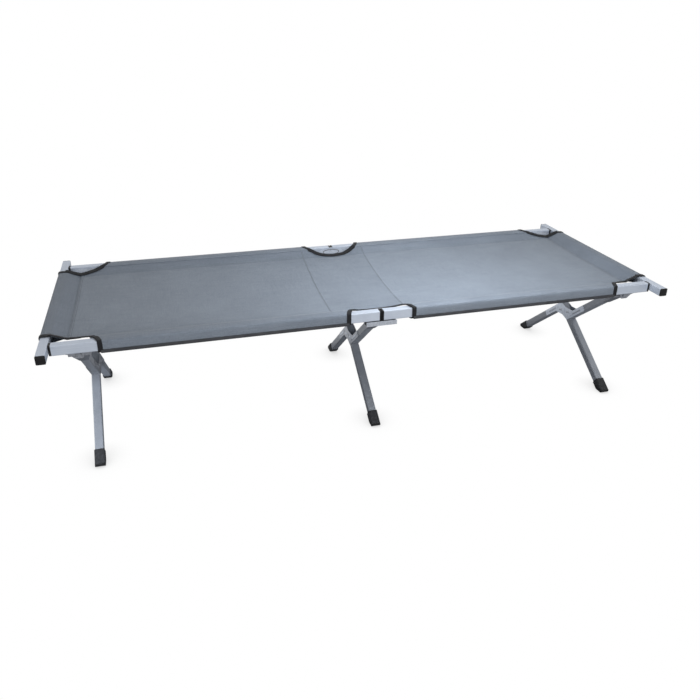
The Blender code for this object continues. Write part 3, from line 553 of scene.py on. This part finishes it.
def facing_out(mesh):
    """Turns every face of a closed mesh outwards."""
    shape = bmesh.new()
    shape.from_mesh(mesh)
    bmesh.ops.remove_doubles(shape, verts=shape.verts, dist=1e-7)
    bmesh.ops.recalc_face_normals(shape, faces=shape.faces)
    shape.to_mesh(mesh)
    shape.free()
    return mesh


def closed_sheet(name, upper, thickness, look):
    """Cloth from a grid of points on its upper side: point and point - normal * thickness, joined at its rim.

    The normal at a point is the cross product of the two grid directions there, upwards or outwards.
    """
    normal = unit(np.cross(np.gradient(upper, axis=0), np.gradient(upper, axis=1)))
    lower = upper - normal * thickness
    rows, columns = upper.shape[:2]
    count = rows * columns
    top = grid_faces(rows, columns)
    index = np.arange(count).reshape(rows, columns)
    rim = np.concatenate([index[0, :], index[1:, -1], index[-1, -2::-1], index[-2:0:-1, 0]])
    after = np.roll(rim, -1)
    wall = np.stack([rim, after, after + count, rim + count], -1)
    faces = np.vstack([top, top[:, ::-1] + count, wall])
    return finished(name, facing_out(mesh_of(name, np.stack([upper, lower]), faces)), look)


def swept(name, path, side, up, profile, look, round_path=False):
    """A closed profile carried along a path: point = path + side * profile_u + up * profile_v.

    Side and up are one vector each, or one for every point. A path that isn't round gets flat ends.
    """
    side = np.broadcast_to(side, path.shape)[:, None]
    up = np.broadcast_to(up, path.shape)[:, None]
    points = path[:, None] + side * profile[:, :1] + up * profile[:, 1:]
    rows, columns = points.shape[:2]
    faces = grid_faces(rows, columns, round_path, True).tolist()
    if not round_path:
        last = (rows - 1) * columns
        faces += [list(range(columns)), list(range(last + columns - 1, last - 1, -1))]
    return finished(name, facing_out(mesh_of(name, points, faces)), look)


def flat_oval(width, thickness, count=12, squareness=0.55):
    """x = width/2 * sign(cos t) |cos t|^s, y = thickness/2 * sign(sin t) |sin t|^s."""
    angle = np.linspace(0, 2 * np.pi, count, endpoint=False)
    round_point = np.stack([np.cos(angle), np.sin(angle)], -1)
    return np.sign(round_point) * np.abs(round_point) ** squareness * (width / 2, thickness / 2)


def smooth_line(knots, count):
    """A curve through the knots, cubic between them.

    Its slope at a knot is half the step from the knot before to the knot after.
    """
    slope = np.gradient(knots, axis=0)
    place = np.linspace(0, len(knots) - 1, count)
    start = np.minimum(place.astype(int), len(knots) - 2)
    t = (place - start)[:, None]
    return ((2 * t ** 3 - 3 * t ** 2 + 1) * knots[start] + (t ** 3 - 2 * t ** 2 + t) * slope[start]
            + (3 * t ** 2 - 2 * t ** 3) * knots[start + 1] + (t ** 3 - t ** 2) * slope[start + 1])


def lengths_along(path):
    """How long the path is up to each of its points."""
    return np.concatenate([[0], np.cumsum(np.linalg.norm(np.diff(path, axis=0), axis=1))])


def at_lengths(path, wanted):
    """Points at the wanted lengths along a path."""
    length = lengths_along(path)
    return np.stack([np.interp(wanted, length, column) for column in path.T], -1)


def evenly(path, spacing):
    """The same path at equal steps of about the given length."""
    whole = lengths_along(path)[-1]
    return at_lengths(path, np.linspace(0, whole, max(3, int(round(whole / spacing)) + 1)))


CORNER_CURVE = smooth_line(CORNER_OUTLINE, CORNER_POINTS)
MIDDLE_CURVE = smooth_line(MIDDLE_OUTLINE, MIDDLE_POINTS)
MOUTHS = {"outer": CORNER_CURVE[CORNER_FLARE:], "inner": MIDDLE_CURVE}


def mouth_x(place, reach):
    """How far along the bed a rail pocket's outer or inner mouth lies at each reach."""
    curve = MOUTHS[place]
    return np.interp(reach, curve[:, 1], curve[:, 0])


def edge_limit(x):
    """How far out the cloth reaches at each x: the cut-outs' outlines, and no limit elsewhere."""
    distance = np.abs(x)
    corner = np.interp(distance, CORNER_CURVE[::-1, 0], CORNER_CURVE[::-1, 1], left=1.0)
    middle = np.interp(distance, MIDDLE_CURVE[:, 0], MIDDLE_CURVE[:, 1], right=1.0)
    return np.minimum(corner, middle)


def cloth_drop(x, y):
    """Drop below the rails: a bowl that starts in the pockets and ends at the bars, and a dip at the notches.

    The bowl is pocket + (centre - pocket) * (1 - (y / reach)^2), and over the pocket it is multiplied by
    t - ease * sin(2 pi t) / 2 pi. The dip is (1 - (x / half)^2) * e^-((y - reach) / spread)^2.
    """
    distance, reach = np.abs(x), np.abs(y)
    centre = SAG_END + (SAG_MIDDLE - SAG_END) * (1 - np.clip(distance / SEAM_X, 0, 1) ** 2)
    bowl = POCKET_DROP + (centre - POCKET_DROP) * (1 - np.clip(reach / POCKET_REACH, 0, 1) ** 2)
    t = np.clip((RAIL_INNER_Y - reach) / (RAIL_INNER_Y - POCKET_REACH), 0, 1)
    eased = t - POCKET_EASE * np.sin(2 * np.pi * t) / (2 * np.pi)
    to_bar = np.clip((BAR_INNER_X - distance) / (BAR_INNER_X - SEAM_X), 0, 1)
    by_notch = np.clip(1 - (distance / NOTCH_DIP_HALF) ** 2, 0, 1)
    dip = NOTCH_DIP * by_notch * np.exp(-((reach - NOTCH_DIP_REACH) / NOTCH_DIP_SPREAD) ** 2)
    return bowl * eased * to_bar + dip


def uneven_wave(place, pitch, wander, turns, phase=0.0):
    """A wave whose pitch wanders: sin(2 pi place / pitch + wander * sin(turns * place) + phase)."""
    return np.sin(2 * np.pi * place / pitch + wander * np.sin(turns * place) + phase)


def ripple(x, y):
    """Small unevenness: broad waves, puckers along the rails, creases at the corners, pulls at the end seams.

    All but the broad waves die away from their edge or corner as e^(-distance / fade).
    """
    side = np.sign(y)
    from_rail = np.clip(RAIL_INNER_Y - np.abs(y), 0, 1)
    from_seam = np.clip(SEAM_X - np.abs(x), 0, 2)
    inwards = np.clip(CREASE_CORNER[0] - np.abs(x), 0, 2)
    sideways = np.clip(CREASE_CORNER[1] - np.abs(y), 0, 2)
    fan = np.sin(CREASE_FAN * np.arctan2(sideways, inwards + 1e-6) + side * np.sign(x))
    away = np.hypot(inwards, sideways)
    first, second = (along * x + across * y for along, across in BROAD_TURNS)
    broad = BROAD_HEIGHT * np.sin(first + BROAD_START) * np.cos(second)
    pucker = PUCKER_HEIGHT * uneven_wave(x, **PUCKER_WAVE, phase=side) * np.exp(-from_rail / PUCKER_FADE)
    crease = CREASE_HEIGHT * fan * np.exp(-away / CREASE_FADE) * np.clip(away / CREASE_START, 0, 1)
    pull = PULL_HEIGHT * uneven_wave(y, **PULL_WAVE) * np.exp(-from_seam / PULL_FADE)
    return broad + pucker + crease + pull


def seam_line(end, y):
    """A cross seam runs a little askew: its place along the bed is middle + slope * y."""
    middle, slope = CROSS_SEAMS[end]
    return middle + slope * y


def seam_rise(x, y):
    """A felled seam: a low flat ridge around each cross seam."""
    off = np.minimum(np.abs(x - seam_line("left", y)), np.abs(x - seam_line("right", y)))
    down_shoulder = (off - CROSS_SEAM_HALF) / CROSS_SEAM_SHOULDER
    return CROSS_SEAM_RISE * np.clip(1 - down_shoulder, 0, 1)


def cloth_height(x, y):
    drop = cloth_drop(x, y)
    return RAIL_TOP + CLOTH_LIFT + CLOTH - drop + ripple(x, y) * (drop > 0) + seam_rise(x, y)


def on_bed(x, y, lift=0.0):
    return np.column_stack([x, y, cloth_height(x, y) + lift])


def above_pin(y):
    """How far the cloth lies above the fold pins, which is how far the laps reach past them."""
    return RAIL_TOP + CLOTH - cloth_drop(0.0, y) - FOLD_PIN_Z


def lapped(x, y):
    """Stretches a side panel's inner end, so that it reaches past the fold pin as far as it lies above it."""
    reach = np.abs(x)
    inner = FOLD_PIN_X - above_pin(y)
    moved = LAP_START - (LAP_START - reach) * (LAP_START - inner) / (LAP_START - LAP_END)
    return np.sign(x) * np.where(reach < LAP_START, moved, reach)


def widened(x, y):
    """Scales the middle panel, so that its edge lies about as far past the fold pin as it lies above it."""
    return x * (FOLD_PIN_X + above_pin(y)) / (FOLD_PIN_X + above_pin(RAIL_INNER_Y))


def crowded_shares(count):
    """From -1 to 1, closer together near both ends."""
    even = np.linspace(-1, 1, count)
    return np.sin(even * np.pi / 2) * EDGE_CROWDING + even * (1 - EDGE_CROWDING)


def panel_points(stations, shift, lift=0.0):
    """Points at each place along the bed, spread between the cloth's two edges there and shifted along it."""
    y = np.minimum(PANEL_REACH, edge_limit(stations))[:, None] * crowded_shares(PANEL_COLUMNS)
    x = shift(np.repeat(stations[:, None], PANEL_COLUMNS, axis=1), y)
    return np.stack([x, y, cloth_height(x, y) + lift], -1)


def gathered(piece, body):
    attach(piece, body)
    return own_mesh(piece)


def cloth_pieces():
    """Three panels across the bed; each side one reaches past its fold pin under the middle one."""
    stations = np.concatenate([np.linspace(LAP_START, SEAM_X, PANEL_STATIONS),
                               np.linspace(LAP_END, LAP_START, LAP_STATIONS),
                               np.linspace(*FLARE_SPAN, FLARE_STATIONS)])
    stations = np.unique(np.round(stations, 5))
    for end, sign in ENDS.items():
        points = panel_points(np.sort(sign * stations), lapped)
        under = FOLD_PIN_X + above_pin(points[..., 1]) - np.abs(points[..., 0])
        points[..., 2] -= LAP_DIP * np.clip(under / LAP_EASE, 0, 1)
        panel = closed_sheet(f"cloth_panel_{end}", points, CLOTH, "cloth")
        gathered(panel, f"near_{end}_half")
        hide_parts(f"cloth_{end}")
    stations = np.linspace(-MIDDLE_HALF, MIDDLE_HALF, MIDDLE_STATIONS)
    points = panel_points(stations, widened, MIDDLE_LIFT)
    panel = closed_sheet("cloth_panel_middle", points, MIDDLE_CLOTH, "cloth")
    gathered(panel, "near_centre")
    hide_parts("cloth_middle")


def rail_hems():
    """The pocket round each rail, one for each half and side, between the cut-outs.

    The rows of RAIL_WRAP run from mouth to mouth. The outer face waves where the tape draws it in, by
    pull * sin(2 pi (distance + slant * row) / pitch) * e^(-distance / fade), from the inner mouth on.
    """
    reach, level = RAIL_WRAP[:, :1], RAIL_WRAP[:, 1:]
    first = mouth_x("inner", reach)
    from_mouth = (mouth_x("outer", reach) - first) * np.linspace(0, 1, HEM_STATIONS)
    wave = from_mouth + np.arange(len(RAIL_WRAP))[:, None] * TAPE_PULL_SLANT
    pull = TAPE_PULL * np.sin(2 * np.pi * wave / TAPE_PULL_PITCH) * np.exp(-from_mouth / TAPE_PULL_FADE)
    for side, y_sign in SIDES.items():
        for end, x_sign in ENDS.items():
            x = x_sign * (first + from_mouth)
            y = np.repeat(y_sign * reach, HEM_STATIONS, axis=1)
            height = np.repeat(level, HEM_STATIONS, axis=1)
            height[UNDERSIDE] += HEM_SLACK * np.sin(HEM_SLACK_TURNS * x[UNDERSIDE] + HEM_SLACK_SHIFT * y_sign)
            height[0] = cloth_height(x[0], y[0]) + HEM_LIFT
            height[1] = (height[0] + height[2]) / 2 + HEM_BULGE
            puff = HEM_PUFF * uneven_wave(x, **PUCKER_WAVE)
            height[TOP] += puff[TOP]
            y[OUTER_FACE] += y_sign * (puff + pull)[OUTER_FACE]
            points = np.stack([x, y, height], -1)
            if x_sign * y_sign > 0:
                points = points[:, ::-1]
            hem = closed_sheet(f"rail_hem_{side}_{end}", points, CLOTH, "hem_cloth")
            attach(hem, f"{side}_{end}_half")


def hem_shade_strip():
    """A dark strip along each rail pocket's lower outer edge, painted shade where the pocket turns under: a
    flat oval on a straight line.
    """
    x = np.linspace(*SHADE_STRIP_ENDS, SHADE_STRIP_POINTS)
    for side, y_sign in SIDES.items():
        for end, x_sign in ENDS.items():
            path = x[:, None] * (x_sign * ALONG) + (0.0, y_sign * SHADE_STRIP_REACH, SHADE_STRIP_Z)
            piece = swept(f"hem_shade_strip_{side}_{end}", path, UP, y_sign * ACROSS, flat_oval(*SHADE_STRIP), "shade_strip")
            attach(piece, f"{side}_{end}_half")


def plate_ribs():
    """Pressed ribs on the Z-shaped plates: flat ovals on straight lines, along the arms and at the waist."""
    down = np.array([0.0, math.cos(SPLIT_SLOPE), -math.sin(SPLIT_SLOPE)])
    up = np.array([0.0, math.sin(SPLIT_SLOPE), math.cos(SPLIT_SLOPE)])
    for label, x in LEG_SETS.items():
        for plate, x_sign in (("a", -1), ("b", 1)):
            for number, line in enumerate(RIB_LINES):
                flat = np.linspace(*np.array(line), RIB_POINTS)
                path = flat[:, :1] * down + flat[:, 1:] * up + (x + x_sign * PLATE_FACE, 0.0, CROSS_Z)
                across = np.cross(unit(path[-1] - path[0]), ALONG)
                piece = swept(f"rib_{label}_{plate}_{number}", path, across, x_sign * ALONG, flat_oval(*RIB),
                              RIB_LOOKS[label])
                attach(piece, f"{label}_split")


def centre_emboss():
    """The ring pressed into each rail joint channel: x = length/2 * cos(t), z = middle + height/2 * sin(t).

    A flat oval is carried round it, in the darkest steel copy: painted shade along the pressed ring.
    """
    angle = np.linspace(0, 2 * np.pi, RING_POINTS, endpoint=False)
    for side, y_sign in SIDES.items():
        wall = np.full_like(angle, y_sign * (RAIL_INNER_Y - RING_SINK))
        height = RING_Z + RING_HEIGHT / 2 * np.sin(angle)
        ring = np.column_stack([RING_LENGTH / 2 * np.cos(angle), wall, height])
        run = unit(np.roll(ring, -1, axis=0) - np.roll(ring, 1, axis=0))
        inward = -y_sign * ACROSS
        piece = swept(f"centre_emboss_{side}", ring, np.cross(run, inward), inward, flat_oval(*RING_BEAD),
                      "painted_shade_steel", round_path=True)
        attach(piece, f"{side}_centre")


def end_hems():
    """The pocket round each end bar, with the flap that runs under the panel past the seam.

    Each row of BAR_WRAP is straight across the bed. The flap comes up to the pocket's top over four rows.
    """
    distance, level = BAR_WRAP[:, :1], BAR_WRAP[:, 1:]
    limit = np.minimum(edge_limit(np.maximum(distance, SEAM_X + FLAP_CLEARANCE)), HEM_HALF - FLAP_INSET)
    limit[FLAP_END] -= FLAP_SETBACK
    limit[RETURN] -= RETURN_SETBACK
    y = limit * crowded_shares(HEM_COLUMNS)
    under = CLOTH + FLAP_GAP
    for bar, end in BARS.items():
        sign = ENDS[end]
        x = np.repeat(sign * distance, HEM_COLUMNS, axis=1)
        z = np.where(np.isnan(level), cloth_height(x, y), level)
        z[FLAP] -= under
        z[FLAP_UP] -= under * FLAP_RISE
        z[-1] -= RETURN_DROP
        z[-2] = (z[-3] + z[-1]) / 2 - RETURN_SAG
        points = np.stack([x, y, z], -1)
        if sign < 0:
            points = points[:, ::-1]
        hem = closed_sheet(f"{bar}_hem", points, CLOTH, "sleeve_cloth")
        gathered(hem, f"{bar}_bar")
        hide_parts(f"{bar}_sleeve")


def bind(name, outline, x_sign, y_sign, lift=0.0):
    """Tape folded over the cloth's edge: a flat oval carried along the outline, set in and curled up."""
    run = unit(np.gradient(outline, axis=0))
    outward = np.column_stack([-run[:, 1] * x_sign, run[:, 0] * y_sign, np.zeros(len(run))])
    centre = on_bed(*(outline * (x_sign, y_sign) - outward[:, :2] * TAPE_INSET).T, lift - CLOTH / 2)
    run = np.gradient(centre, axis=0)
    up = unit(np.cross(outward, run))
    up *= np.sign(up[:, 2:])
    side = unit(np.cross(run, up))
    side *= np.sign(np.sum(side * outward, axis=1, keepdims=True))
    curl_run, curl_rise = math.cos(TAPE_CURL), math.sin(TAPE_CURL)
    centre[:, 2] += TAPE_WIDTH / 2 * curl_rise - TAPE_BITE
    return swept(name, centre, side * curl_run + up * curl_rise, up * curl_run - side * curl_rise,
                 flat_oval(TAPE_WIDTH, TAPE_THICKNESS), "tape")


def wrapped(name, path, way, width=TAPE_WIDTH):
    """Tape that goes round a pocket's mouth: a flat oval whose width lies along the bed or across it."""
    run = unit(np.gradient(path, axis=0))
    side = unit(way - run * (run @ way)[:, None])
    return swept(name, path, side, np.cross(run, side), flat_oval(width, TAPE_THICKNESS), "tape")


def mouth_bindings(side, end):
    """Tape round both mouths of a rail pocket, a little further from the rail's middle than the hem."""
    x_sign, y_sign = ENDS[end], SIDES[side]
    rail_middle = (0.0, y_sign * (RAIL_INNER_Y + RAIL_OUTER_Y) / 2, (RAIL_BOTTOM + RAIL_TOP) / 2)
    for place, inset in (("outer", -TAPE_INSET), ("inner", TAPE_INSET)):
        reach, z = RAIL_WRAP[:MOUTH_ROWS].T.copy()
        x = x_sign * (mouth_x(place, reach) + inset)
        z[0] = cloth_height(x[0], reach[0]) + MOUTH_LIFT
        z[1] = (z[0] + z[2]) / 2 + MOUTH_BULGE
        path = smooth_line(np.column_stack([x, y_sign * reach, z]), MOUTH_POINTS)
        away = path - rail_middle
        away[:, 0] = 0
        piece = wrapped(f"{place}_mouth_binding_{side}_{end}", path + unit(away) * MOUTH_GAP, ALONG,
                        MOUTH_TAPE_WIDTH)
        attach(piece, f"{side}_{end}_half")


def bindings():
    """Black tape on the cut-outs' edges, round the bar pockets' ends and round the rail pockets' mouths."""
    corner = evenly(CORNER_CURVE, TAPE_STEP)[::-1]
    middle = evenly(MIDDLE_CURVE, TAPE_STEP)
    by_panel = corner[(corner[:, 0] <= PANEL_TAPE_END) & (corner[:, 1] < PANEL_TAPE_REACH)]
    by_hem = corner[(corner[:, 0] >= HEM_TAPE_ENDS[0]) & (corner[:, 0] < HEM_TAPE_ENDS[1])]
    by_joint = middle[(middle[:, 0] > FOLD_PIN_X) & (middle[:, 1] < JOINT_TAPE_REACH)]
    between = np.vstack([middle[::-1] * (-1, 1), middle[1:]])
    between = between[np.abs(between[:, 0]) < MIDDLE_TAPE_HALF]
    around = smooth_line(BAR_TAPE, BAR_TAPE_POINTS)
    for side, y_sign in SIDES.items():
        edge = np.full(len(around), y_sign * (HEM_HALF - TAPE_INSET))
        for bar, end in BARS.items():
            x_sign = ENDS[end]
            piece = bind(f"corner_binding_{side}_{end}", by_panel, x_sign, y_sign, PANEL_TAPE_LIFT)
            gathered(piece, f"near_{end}_half")
            piece = bind(f"hem_binding_{side}_{bar}", by_hem, x_sign, y_sign)
            gathered(piece, f"{bar}_bar")
            path = np.column_stack([x_sign * around[:, 0], edge, around[:, 1]])
            piece = wrapped(f"bar_binding_{side}_{bar}", path, ACROSS)
            gathered(piece, f"{bar}_bar")
            piece = bind(f"joint_binding_{side}_{end}", by_joint, x_sign, y_sign, PANEL_TAPE_LIFT)
            gathered(piece, f"near_{end}_half")
            mouth_bindings(side, end)
        piece = bind(f"joint_binding_{side}_middle", between, 1, y_sign, MIDDLE_TAPE_LIFT)
        gathered(piece, "near_centre")


def stitches(path, pitch):
    """The corners of small beads laid along the path, a pitch apart and half sunk in the cloth."""
    middles = (np.arange(int(lengths_along(path)[-1] / pitch)) + 0.5) * pitch
    centre = at_lengths(path, middles)
    run = unit(at_lengths(path, middles + pitch / 4) - centre)
    up = unit(UP - run * run[:, 2:])
    bead = BEAD * (pitch * STITCH_SHARE / 2, STITCH_WIDTH / 2, STITCH_HEIGHT)
    return centre[:, None] + bead @ np.stack([run, np.cross(up, run), up], 1)


def stitched(name, rows, look, body, gather=True):
    """Rows of stitches joined into one piece."""
    beads = np.concatenate(rows)
    faces = (BEAD_FACES + np.arange(len(beads))[:, None, None] * len(BEAD)).reshape(-1, 3)
    piece = finished(name, facing_out(mesh_of(name, beads, faces)), look, smooth_angle=80)
    if gather:
        return gathered(piece, body)
    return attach(piece, body)


def stitching():
    """Two dark rows on each cross seam and inside each end seam, and a pale row along each rail pocket."""
    for end, sign in ENDS.items():
        y = np.linspace(-CROSS_SEAM_REACH, CROSS_SEAM_REACH, STITCH_POINTS)
        rows = [stitches(on_bed(seam_line(end, y) + off, y), SEAM_STITCH) for off in CROSS_SEAM_ROWS]
        y = np.linspace(-END_SEAM_REACH, END_SEAM_REACH, STITCH_POINTS)
        for off in END_SEAM_ROWS:
            rows.append(stitches(on_bed(np.full_like(y, sign * (SEAM_X - off)), y), SEAM_STITCH))
        stitched(f"seam_stitches_{end}", rows, "dark_thread", f"near_{end}_half")
        for side, y_sign in SIDES.items():
            x = np.linspace(*HEM_STITCH_ENDS, STITCH_POINTS)
            path = on_bed(sign * x, np.full_like(x, y_sign * HEM_STITCH_REACH), HEM_STITCH_LIFT)
            stitched(f"hem_stitches_{side}_{end}", [stitches(path, HEM_STITCH)], "thread",
                     f"{side}_{end}_half", gather=False)


def dress_frame():
    """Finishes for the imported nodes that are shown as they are."""
    for name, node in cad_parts.items():
        # Nodes not listed take painted shade: the darkest steel copy
        look = next((look for part, look in NODE_LOOKS.items() if part in name), "painted_shade_steel")
        node.data.materials.clear()
        node.data.materials.append(LOOKS[look])


def pale_floor():
    """A floor that reads as the white background, keeps a soft shadow at each foot and bounces light.

    The camera sees through it but for that shadow. To mirror rays it glows: painted light in front of the bed
    and behind its right part, and painted shade elsewhere. It is clear from below and to shadow rays.
    """
    corners = [(-1, -1, 0), (1, -1, 0), (1, 1, 0), (-1, 1, 0)]
    mesh = mesh_of("floor", np.array(corners) * FLOOR_HALF, [(0, 1, 2, 3)])
    floor = bpy.data.objects.new("floor", mesh)
    floor.location.z = -FLOOR_GAP
    bpy.context.scene.collection.objects.link(floor)
    finish = Finish("pale_floor")
    x, y = finish.axis("X"), finish.axis("Y")
    open_air = finish.node("ShaderNodeAmbientOcclusion", {"samples": 8}, {"Distance": 0.09}, output="AO")
    off_x = x.size().lesser((x.size() - END_LEG_X).size())
    off_y = y.size() - FOOT_REACH
    by_foot = (off_x * off_x + off_y * off_y).rise(0.0, FOOT_SHADE_REACH ** 2, 1.0, 0.0)
    # Mirror rays see the floor glow: painted light where this mask is high, painted shadow of the bed
    # elsewhere
    pale = y.rise(-0.95, -0.55, 1.0, 0.0) + y.rise(0.25, 0.42) * x.rise(-0.72, -0.45)
    clear = finish.node("ShaderNodeBsdfTransparent")
    bounce = finish.node("ShaderNodeBsdfDiffuse", None, {"Color": rgb(0.62, 0.62, 0.62)})
    painted_mirror_floor = finish.mix(pale, finish.glow(0.13, 0.14, 0.16), finish.glow(0.90, 0.90, 0.90))
    seen = finish.mix((1.0 - open_air) * by_foot * FOOT_SHADE, clear, finish.glow(0.0, 0.0, 0.0))
    unseen = finish.mix(finish.ray("Is Glossy Ray"), bounce, painted_mirror_floor)
    lit = finish.mix(finish.ray("Is Camera Ray"), unseen, seen)
    underside = finish.node("ShaderNodeNewGeometry", output="Backfacing")
    passed = finish.mix(finish.ray("Is Shadow Ray").greater(underside), lit, clear)
    finish.tree.nodes.remove(finish.shader)
    finish.feed(finish.output.inputs["Surface"], passed)
    mesh.materials.append(finish.material)


def white_world():
    """White to the camera and in mirrors, and a dimmer fill for everything else."""
    world = bpy.data.worlds.new("white_studio")
    world.use_nodes = True
    tree = world.node_tree
    tree.nodes.clear()
    output = tree.nodes.new("ShaderNodeOutputWorld")
    path = tree.nodes.new("ShaderNodeLightPath")
    seen = tree.nodes.new("ShaderNodeBackground")
    fill = tree.nodes.new("ShaderNodeBackground")
    seen.inputs["Color"].default_value = rgb(1.0, 1.0, 1.0)
    fill.inputs["Color"].default_value = rgb(1.0, 0.99, 0.98)
    fill.inputs["Strength"].default_value = 0.35
    share = path.outputs["Is Camera Ray"]
    for kind in ("Is Glossy Ray", "Is Transmission Ray"):
        larger = tree.nodes.new("ShaderNodeMath")
        larger.operation = "MAXIMUM"
        tree.links.new(share, larger.inputs[0])
        tree.links.new(path.outputs[kind], larger.inputs[1])
        share = larger.outputs[0]
    mix = tree.nodes.new("ShaderNodeMixShader")
    tree.links.new(share, mix.inputs[0])
    tree.links.new(fill.outputs[0], mix.inputs[1])
    tree.links.new(seen.outputs[0], mix.inputs[2])
    tree.links.new(mix.outputs[0], output.inputs["Surface"])
    bpy.context.scene.world = world


def aimed(light, place, target, power, colour):
    """A lamp that shines from its place at its target and isn't seen itself."""
    light.energy = power
    light.color = colour
    item = bpy.data.objects.new(light.name, light)
    item.visible_glossy = False
    item.visible_camera = False
    item.location = place
    item.rotation_euler = (Vector(target) - Vector(place)).to_track_quat("-Z", "Y").to_euler()
    bpy.context.scene.collection.objects.link(item)


def lamp(name, place, target, width, height, power, colour=(1.0, 1.0, 1.0)):
    light = bpy.data.lights.new(name, "AREA")
    light.shape = "RECTANGLE"
    light.size = width
    light.size_y = height
    aimed(light, place, target, power, colour)


def leg_light(place, target, cone, power, colour):
    """A narrow soft spot from the front, low enough to miss the rails."""
    light = bpy.data.lights.new("leg_light", "SPOT")
    light.spot_size = cone
    light.spot_blend = 0.15
    light.shadow_soft_size = 0.03
    aimed(light, place, target, power, colour)


def camera(place, yaw, pitch, roll, focal_length):
    """Looks along +Y, turned right by yaw, down by pitch and then about its own view by roll."""
    forward = Vector((math.sin(yaw) * math.cos(pitch), math.cos(yaw) * math.cos(pitch), -math.sin(pitch)))
    right = Vector((math.cos(yaw), -math.sin(yaw), 0.0))
    up = right.cross(forward)
    level_right = right * math.cos(roll) + up * math.sin(roll)
    level_up = up * math.cos(roll) - right * math.sin(roll)
    lens = bpy.data.cameras.new("studio_camera")
    lens.sensor_width = 36.0
    lens.lens = focal_length
    item = bpy.data.objects.new("studio_camera", lens)
    turn = Matrix((level_right, level_up, -forward)).transposed().to_4x4()
    item.matrix_world = Matrix.Translation(place) @ turn
    bpy.context.scene.collection.objects.link(item)
    bpy.context.scene.camera = item


bpy.context.scene.view_settings.view_transform = "Standard"
camera((-0.589, -2.073, 1.217), yaw=math.radians(15.70), pitch=math.radians(26.70), roll=math.radians(0.46),
       focal_length=34.86)
white_world()
pale_floor()
lamp("right_key", (0.23, -0.32, 1.06), (0.23, -0.12, 0.4), width=0.5, height=0.4, power=6.9,
     colour=(0.95, 1.0, 1.05))
lamp("overhead", (0.0, -0.3, 2.7), (0.0, 0.0, 0.4), width=2.6, height=1.8, power=7.0)
lamp("front", (-0.1, -2.5, 0.9), (0.0, 0.0, 0.35), width=1.8, height=0.7, power=26.0)
leg_light((-1.1, -1.9, 0.50), (-0.84, -0.27, 0.025), cone=math.radians(13.4), power=150.0,
          colour=(0.93, 1.0, 1.09))
dress_frame()
cloth_pieces()
rail_hems()
hem_shade_strip()
end_hems()
plate_ribs()
centre_emboss()
bindings()
stitching()
